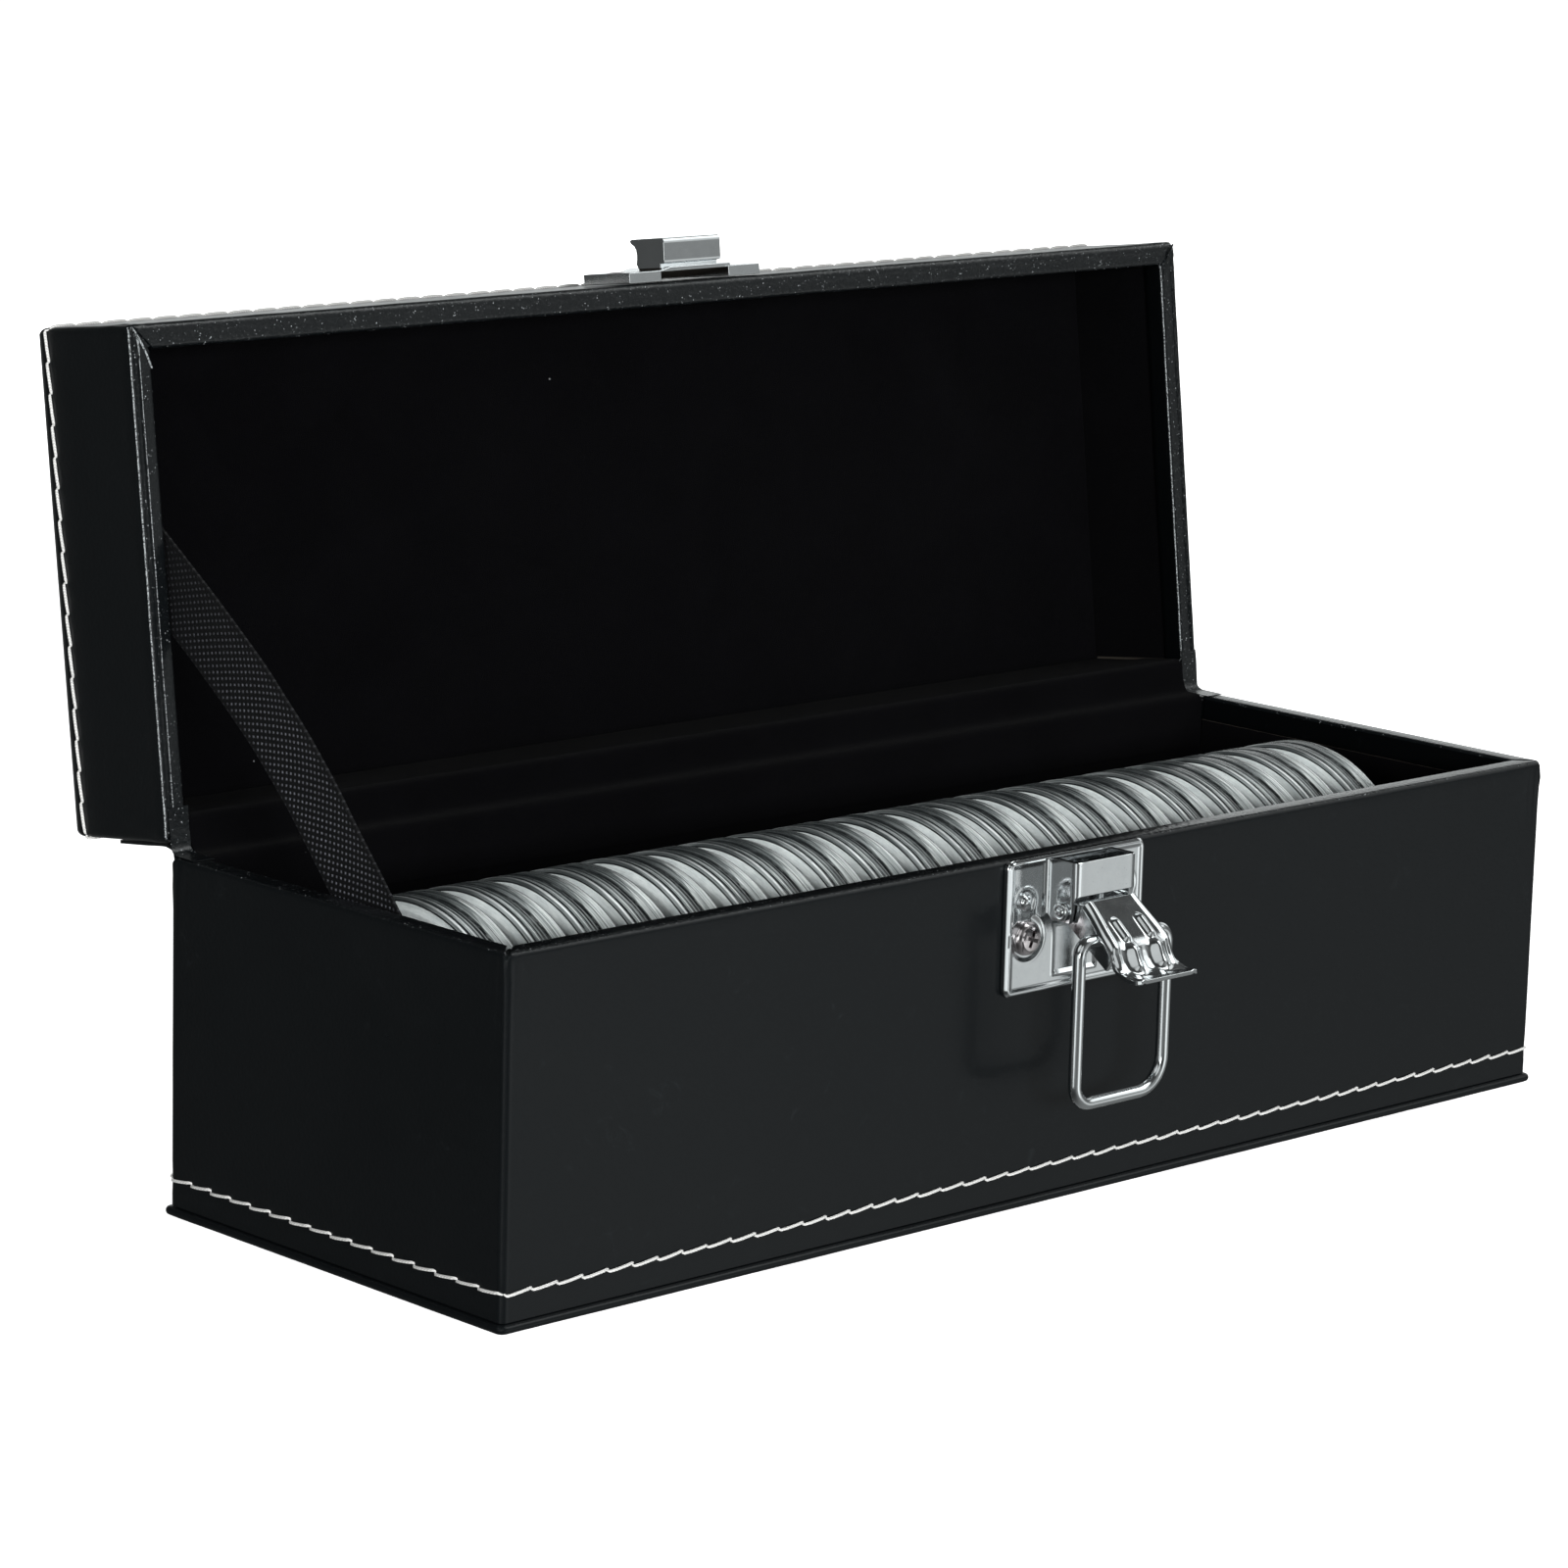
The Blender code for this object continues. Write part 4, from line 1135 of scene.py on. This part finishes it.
inner_path = [
    (LINING_Y, 48.2), (LINING_Y, 53.0), (LINING_Y - 0.01, 56.4), (LINING_Y + 0.55, 57.30), (38.0, 57.34),
    (39.3, 57.34), (40.0, 58.1),
]
inner_path += opened(
    (39.3, 57.46), (38.0, 57.46), (LINING_Y + 0.55, 57.5), (LINING_Y - 0.01, 58.4), (LINING_Y, 62.0),
    (LINING_Y, 66.6),
)
lining_shape = bent_strip(inner_path, 0.13, -113.2, 113.2, 60, 0.03)
lining = add_piece("hinge_lining_strip", lining_shape, VELVET, None,
                   ["hinge_lining"])
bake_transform(lining)

corner_path = [(34.4, 57.30), (36.0, 57.32), (38.0, 57.34), (39.2, 57.36), (40.1, 57.7), (40.5, 58.2)]
corner_path += opened((39.2, 57.44), (38.0, 57.46), (36.0, 57.48), (34.4, 57.5))
# the corners take the rim leather with its painted glints
for side, x0, x1 in (("left", -117.0, -113.25), ("right", 113.25, 117.0)):
    corner_shape = bent_strip(corner_path, 0.12, x0, x1, 16, 0.30)
    corner = add_piece(f"hinge_corner_{side}", corner_shape, LEATHER_RIM, None)
    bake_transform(corner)


def ribbon_shape():
    """The stay as a thin woven strip with thicker selvedges, and its map of (across, along)."""
    path = smooth_path([(0.0, y, z) for y, z in RIBBON_LINE], 1.2)
    count = 16
    front, back, cloth = [], [], []
    run = 0.0
    for n, (here, along) in enumerate(zip(path, directions(path))):
        across = Vector((0.0, -along.z, along.y))
        run += (here - path[n - 1]).length if n else 0.0
        share = n / (len(path) - 1)
        bow = 0.35 * math.sin(math.pi * smooth_step(0.08, 0.92, share))
        for i in range(count + 1):
            u = (i / count - 0.5) * RIBBON_WIDTH
            cup = 0.25 * (1.0 - (2 * u / RIBBON_WIDTH) ** 2)
            selvedge = 0.08 * smooth_step(5.1, 5.6, abs(u))
            ripple = noise.noise(Vector((run * 0.12, u * 0.15, 3.0))) * 0.12
            x = RIBBON_X - 0.2 + bow + cup + ripple
            place = here + across * u
            front.append((x + 0.17 + selvedge, place.y, place.z))
            back.append((x - 0.17, place.y, place.z))
            cloth.append((u, run))
    return slab(front, back, count + 1), cloth + cloth, run


stay_shape, stay_map, stay_length = ribbon_shape()
stay = add_piece("ribbon_woven", stay_shape, RIBBON, None,
                 ["ribbon_stay"], uv=stay_map)
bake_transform(stay)


# ---------------------------------------------------------------- the latch's plate, screws and housing

def gap_to_line(x, z, start, end):
    """Distance from a point to the straight line between two others, all in the plane of a plate."""
    (ax, az), (bx, bz) = start, end
    length = (bx - ax) ** 2 + (bz - az) ** 2
    t = max(0.0, min(1.0, ((x - ax) * (bx - ax) + (z - az) * (bz - az)) / length))
    return math.hypot(x - ax - t * (bx - ax), z - az - t * (bz - az))


def plate_relief(x, z, edge):
    """How far the latch plate's front stands off the leather, with its pressed features."""
    rim = smooth_step(-0.05, 0.45, edge) * 0.55 + 0.65
    height = rim - 0.24 * smooth_step(0.75, 1.35, edge)
    for sign in (-1, 1):
        screw, rivet = (sign * SCREW[0], SCREW[1]), (sign * RIVET[0], RIVET[1])
        around_screw, around_rivet = math.dist((x, z), screw) - 3.7, math.dist((x, z), rivet) - 2.1
        dish = min(around_screw, around_rivet, gap_to_line(x, z, rivet, screw) - 1.7)
        height -= 0.20 * (1.0 - smooth_step(-0.45, 0.05, dish))
        height += 0.06 * smooth_step(-0.1, 0.15, dish) * (1.0 - smooth_step(0.15, 0.6, dish))
    tab = max(abs(x) - 4.7, abs(z - 41.7) - 3.9)
    height += 0.22 * smooth_step(-0.15, 0.05, tab) * (1.0 - smooth_step(0.1, 0.45, tab))
    return height - 0.25 * (1.0 - smooth_step(-0.4, -0.1, tab))


PLATE_CORNER = 1.3
PLATE_EDGE = (0.0, 0.1, 0.22, 0.36, 0.52, 0.7, 0.9, 1.1, 1.35)  # rows of points close to the plate's edge
PLATE_GRID = 0.28


def plate_stations(half):
    """Places across the plate, close together at its edges."""
    edge, inner_width = PLATE_EDGE[-1], 2 * half - 2 * PLATE_EDGE[-1]
    fine = [-half + d for d in PLATE_EDGE]
    count = round(inner_width / PLATE_GRID)
    inner = [-half + edge + inner_width * n / count for n in range(1, count)]
    return fine + inner + [-v for v in reversed(fine)]


def plate_shape():
    """The latch plate as a pressed sheet with a rolled edge, round corners and a flat back."""
    middle_z, half_z = (TRAY_TOP + PLATE_LOW) / 2, (TRAY_TOP - PLATE_LOW) / 2
    xs, zs = plate_stations(PLATE_HALF_X), plate_stations(half_z)
    front = []
    for z in zs:
        over = max(0.0, abs(z) - (half_z - PLATE_CORNER))
        half = PLATE_HALF_X - PLATE_CORNER + math.sqrt(max(0.0, PLATE_CORNER ** 2 - over ** 2))
        for x in xs:
            px = x * half / PLATE_HALF_X
            edge = min(half - abs(px), half_z - abs(z))
            if over > 0 and abs(px) > PLATE_HALF_X - PLATE_CORNER:
                edge = PLATE_CORNER - math.hypot(abs(px) - (PLATE_HALF_X - PLATE_CORNER), over)
            height = plate_relief(px, middle_z + z, max(edge, 0.0))
            front.append((px, PLATE_BACK - height, middle_z + z))
    border = grid_border(len(xs), len(zs))
    kept = sorted(a for a, _ in border)
    behind = {a: len(front) + n for n, a in enumerate(kept)}
    faces = grid_cells(len(xs), len(zs))
    faces += [(a, b, behind[b], behind[a]) for a, b in border]
    faces.append(tuple(behind[a] for a, _ in border))
    return front + [(front[a][0], PLATE_BACK, front[a][2]) for a in kept], faces


def cross_slot(x, z, y_face, depth, reach, width, turn):
    """Two crossed tapering blades that cut a cross recess."""
    blades = []
    for quarter in (0.0, math.pi / 2):
        ca, sa = math.cos(turn + quarter), math.sin(turn + quarter)
        loops = []
        for share, y in ((1.0, y_face - 0.6), (1.0, y_face), (0.45, y_face + depth)):
            loop = []
            for u, v in ((-reach, -width), (reach, -width), (reach, width), (-reach, width)):
                u, v = u * share, v * (0.55 + 0.45 * share)
                loop.append((x + u * ca - v * sa, y, z + u * sa + v * ca))
            loops.append(loop)
        blades.append(loft(loops))
    return blades


# a screw's head, from its edge to its middle: shares of its height and of its radius
SCREW_HEAD = (
    (0.0, 1.0), (0.20, 1.0), (0.42, 0.96), (0.62, 0.87), (0.74, 0.76), (0.78, 0.70), (0.92, 0.66),
    (0.97, 0.45), (1.0, 0.02),
)
# a rivet's head: the height, and the share of its radius
RIVET_HEAD = ((-0.2, 1.2), (0.0, 1.25), (0.18, 1.2), (0.26, 1.0), (0.5, 0.92), (0.72, 0.7), (0.86, 0.36))
RIVET_R = 1.1
SCREW_TURN = 0.35  # how far, in radians, a cross recess is turned


def pan_screw(name, x, z, face, radius, height, body, place=as_drawn, turn=SCREW_TURN):
    """A cross-head screw with a bright bevelled rim and a low dome; face is where it sits, in Y."""
    profile = [(face + 0.25, radius * 0.9)] + [(face - height * up, radius * out) for up, out in SCREW_HEAD]
    made = add_piece(f"{name}_head", turned_in_y(profile, 40, x, z), CHROME_WORN, body,
                     [name], sharp=50.0)
    carved(made, *cross_slot(x, z, face - height, height * 0.75, radius * 0.50, radius * 0.12, turn))
    if place is not as_drawn:
        for vertex in made.data.vertices:
            vertex.co = Vector(place(vertex.co / MM)) * MM


latch_plate = add_piece("latch_plate_pressed", plate_shape(), CHROME, "tray",
                        ["latch_plate"], sharp=70.0)
hole = turned_in_y([(PLATE_BACK - 2.3, HOLE_R), (PLATE_BACK - 0.3, HOLE_R)], 28, *HOLE)
carved(latch_plate, hole)
dish_face = PLATE_BACK - DISH_DEPTH
rivet_profile = [(dish_face - height, RIVET_R * share) for height, share in RIVET_HEAD]
rivet_profile.append((dish_face - 0.9, 0.02))
for side, sign in (("left", -1), ("right", 1)):
    pan_screw(f"latch_screw_{side}", sign * SCREW[0], SCREW[1], dish_face, 2.85, 1.5, "tray",
              turn=SCREW_TURN * sign)
    add_piece(f"latch_rivet_{side}_head", turned_in_y(rivet_profile, 28, sign * RIVET[0], RIVET[1]),
              CHROME, "tray", [f"latch_rivet_{side}"], sharp=50.0)


def housing_shape():
    """The bracket that holds the pin: a strip bent round three sides, with flared roots and a low front."""
    half, front, ease = HOUSING_HALF_X, HOUSING_FRONT, 0.12
    corners = [
        (-half - 1.0, PLATE_FRONT + 0.25), (-half - 0.35, PLATE_FRONT + 0.1), (-half, PLATE_FRONT - 0.5),
        (-half, -43.5), (-half, -45.6), (-half, front + 0.9), (-half + 0.25, front + 0.25),
        (-half + 0.9, front), (-half + 2.6, front), (0.0, front),
    ]
    corners += [(-x, y) for x, y in reversed(corners[:-1])]
    path = smooth_path([(x, y, 0.0) for x, y in corners], 0.45)
    loops = []
    for here, along in zip(path, directions(path)):
        inward = Vector((-along.y, along.x, 0.0))
        inner = here + inward * HOUSING_SHEET
        low = 47.0 + 4.4 * smooth_step(-46.2, -47.35, here.y) + 0.9 * smooth_step(-42.4, -41.6, here.y)
        high = 57.0 - 0.25 * smooth_step(-42.2, -41.4, here.y)
        loops.append([
            (point.x + move * inward.x, point.y + move * inward.y, z) for point, move, z in (
                (here, 0.0, low + ease), (here, 0.0, high - ease), (here, ease, high), (inner, -ease, high),
                (inner, 0.0, high - ease), (inner, 0.0, low + ease), (inner, -ease, low), (here, ease, low),
            )
        ])
    return loft(loops)


add_piece("latch_housing_bent", housing_shape(), CHROME, "tray", ["latch_housing"], sharp=32.0)
pin_profile = [
    (-7.75, 0.02), (-7.75, 0.55), (-7.66, 0.72), (-7.58, 0.80), (-7.66, 0.92), (-7.70, 1.15), (-7.60, 1.38),
    (-7.40, 1.50), (-7.02, 1.50), (-6.95, 1.40), (-6.95, 0.9),
]
pin_profile += [(-x, r) for x, r in reversed(pin_profile)]
pin_shape = revolve(pin_profile, 32, lambda along, a, b: (along, PIVOT_Y + a, PIVOT_Z + b))
add_piece("lever_pin_riveted", pin_shape, CHROME, "tray", ["lever_pin"], sharp=50.0)


# ---------------------------------------------------------------- lever, bail and catch

LEVER_FACE = (
    (1.7, 4.1), (4.0, 4.1), (6.0, 4.1), (8.0, 4.1), (10.1, 4.08), (11.8, 3.75), (13.4, 3.05), (15.2, 2.7),
    (16.8, 3.4), (18.1, 4.8),
)
LEVER_CHEEK = (
    (-1.3, 0.9), (-1.7, -0.4), (-0.6, -1.7), (1.0, -1.7), (12.0, -0.6), (11.6, 1.2), (10.4, 3.6), (2.2, 3.6),
)
RIB_MIDDLES, FLUTE_MIDDLES = (-2.75, 2.75), (-5.6, 0.0, 5.6)


def lever_half(down):
    """Half of the lever's width, which grows from its top to its bend."""
    return LEVER_TOP + (LEVER_HALF - LEVER_TOP) * smooth_step(1.7, 10.1, down)


def lever_relief(across, down):
    """How far the lever's pressed ribs and flutes stand out from its plate."""
    height = 0.0
    for middle in RIB_MIDDLES:
        rib = gap_to_line(across, down, (middle, 6.4), (middle, 9.6)) - 1.05
        lobe = gap_to_line(across, down, (middle, 11.6), (middle, 14.6)) - 1.6
        rise = 0.80 * (1.0 - smooth_step(-1.0, 0.10, rib)), 0.95 * (1.0 - smooth_step(-1.6, 0.1, lobe))
        height = max(height, *rise)
    for middle in FLUTE_MIDDLES:
        flute = gap_to_line(across, down, (middle, 12.4), (middle, 14.4)) - 1.25
        height -= 0.30 * (1.0 - smooth_step(-0.8, 0.35, flute))
    border = abs(across) / lever_half(down)
    height += 0.16 * smooth_step(0.76, 0.82, border) * (1.0 - smooth_step(0.84, 0.90, border))
    return height - 0.75 * smooth_step(0.88, 1.0, border) ** 2 * (1.0 - smooth_step(13.5, 15.5, down))


def lever_shape():
    """The lever's pressed plate with its curled lip, and the two cheeks, as (across, down, out)."""
    path = smooth_path([(0.0, down, out) for down, out in LEVER_FACE], 0.28)
    count = 52
    front, back = [], []
    for here, along in zip(path, directions(path)):
        normal = Vector((0.0, -along.z, along.y))
        half = lever_half(here.y) - 0.5 * smooth_step(17.3, 18.2, here.y) ** 2
        for i in range(count + 1):
            across = (2 * i / count - 1) * half
            rise = lever_relief(across, here.y)
            for points, out in ((front, rise), (back, rise - LEVER_SHEET)):
                place = here + normal * out
                points.append((across, place.y, place.z))
    cheeks = [
        loft([[(sign * x, down, out) for down, out in LEVER_CHEEK] for x in (5.0, 5.8)]) for sign in (-1, 1)
    ]
    return joined(slab(front, back, count + 1), *cheeks)


lever = add_piece("latch_lever_pressed", lever_shape(), CHROME, "lever",
                  ["latch_lever"], place=on_lever, sharp=55.0)
bevelled(lever, 0.12, 2, angle=50.0)


def bail_side(bend):
    """Half of the bail's middle line, as (x, height) from the pivot."""
    half = [(4.9, 0.0), (6.2, 0.0), (7.6, 0.0)]
    quarter = [math.radians(90) * step / 10 for step in range(11)]
    shoulder = BAIL_HALF_X - BAIL_SHOULDER
    for a in quarter[1:]:
        half.append((shoulder + BAIL_SHOULDER * math.sin(a), BAIL_SHOULDER * (math.cos(a) - 1)))
    half += [(BAIL_HALF_X, z) for z in (-6.0, -10.0, -14.0, -18.0) if z > bend - BAIL_LENGTH + 1]
    across, up = BAIL_HALF_X - bend, bend - BAIL_LENGTH
    return half + [(across + bend * math.cos(a), up - bend * math.sin(a)) for a in quarter]


left_half, right_half = (bail_side(bend) for bend in BAIL_BENDS)
bail_path = [(-x, BAIL_Y, BAIL_Z + z) for x, z in left_half]
bail_path += [(x, BAIL_Y, BAIL_Z + z) for x, z in reversed(right_half)]
add_piece("bail_loop", tube(bail_path, WIRE_R, 20), CHROME, "bail", ["bail_wire"])


# the hook's section as (y, z), from its root under the hollow back and round its front
HOOK = (
    (-43.05, 59.8), (-43.1, 58.95), (-43.4, 58.8), (-43.7, 58.79), (-46.4, 58.71), (-46.7, 58.7),
    (-47.15, 58.85), (-47.3, 59.2), (-47.3, 66.6), (-47.2, 67.1), (-46.9, 67.25), (-46.5, 66.9),
    (-46.1, 66.2), (-45.5, 65.8), (-44.8, 65.65), (-44.0, 65.7), (-43.1, 65.9), (-42.3, 65.4), (-42.3, 59.9),
)
HOOK_X = (-6.0, 6.8)
LEG_X = (7.6, 14.7)


def catch_shape():
    """The catch on the closed lid: two legs, the raised bridge between them and the hook."""
    low, high = LID_RIM + 0.3, LID_RIM + 11.9
    back, outer, bridge = CATCH_BACK, CATCH_OUTER, CATCH_BRIDGE
    legs = []
    for x0, x1 in ((-LEG_X[1], -LEG_X[0]), LEG_X):
        legs.append(loft([
            [(x0, y, low), (x1, y, low), (x1, y, high), (x0, y, high)] for y in (back, outer)
        ]))
    arch = [
        (-8.6, outer + 0.1), (-8.3, outer - 0.05), (-7.0, outer - 0.05), (-5.0, bridge),
        (8.5, bridge), (8.5, bridge + 0.6),
    ]
    spans = []
    for z, under in ((LID_RIM + 0.8, outer + 0.25), (LID_RIM + 3.5, outer + 0.6), (high - 0.4, back - 0.15)):
        section = arch + [(7.5, under), (-7.5, under), (-8.0, outer + 0.3)]
        spans.append([(x, y, z) for x, y in section])
    return joined(*legs, loft(spans), prism(HOOK, *HOOK_X))


catch = add_piece("lid_catch_pressed", catch_shape(), CHROME, "lid",
                  ["lid_catch"], place=on_open_lid, sharp=30.0)
# painted shade: the faces under the bridge take the dark fibreboard finish, for the shade in the hollow
catch.data.materials.append(BOARD)
for face in catch.data.polygons:
    if face.normal.z < -0.6 and abs(face.center.x) < 7.8 * MM and face.center.z < 140.5 * MM:
        face.material_index = 1
bevelled(catch, 0.30, 3, angle=40.0, flat=True)
for side, x in (("left", -11.2), ("right", 11.2)):
    pan_screw(f"catch_screw_{side}", x, LID_RIM + 7.6, CATCH_OUTER + 0.05, 1.7, 0.2, "lid",
              place=on_open_lid)


# ---------------------------------------------------------------- sizes

low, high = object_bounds()
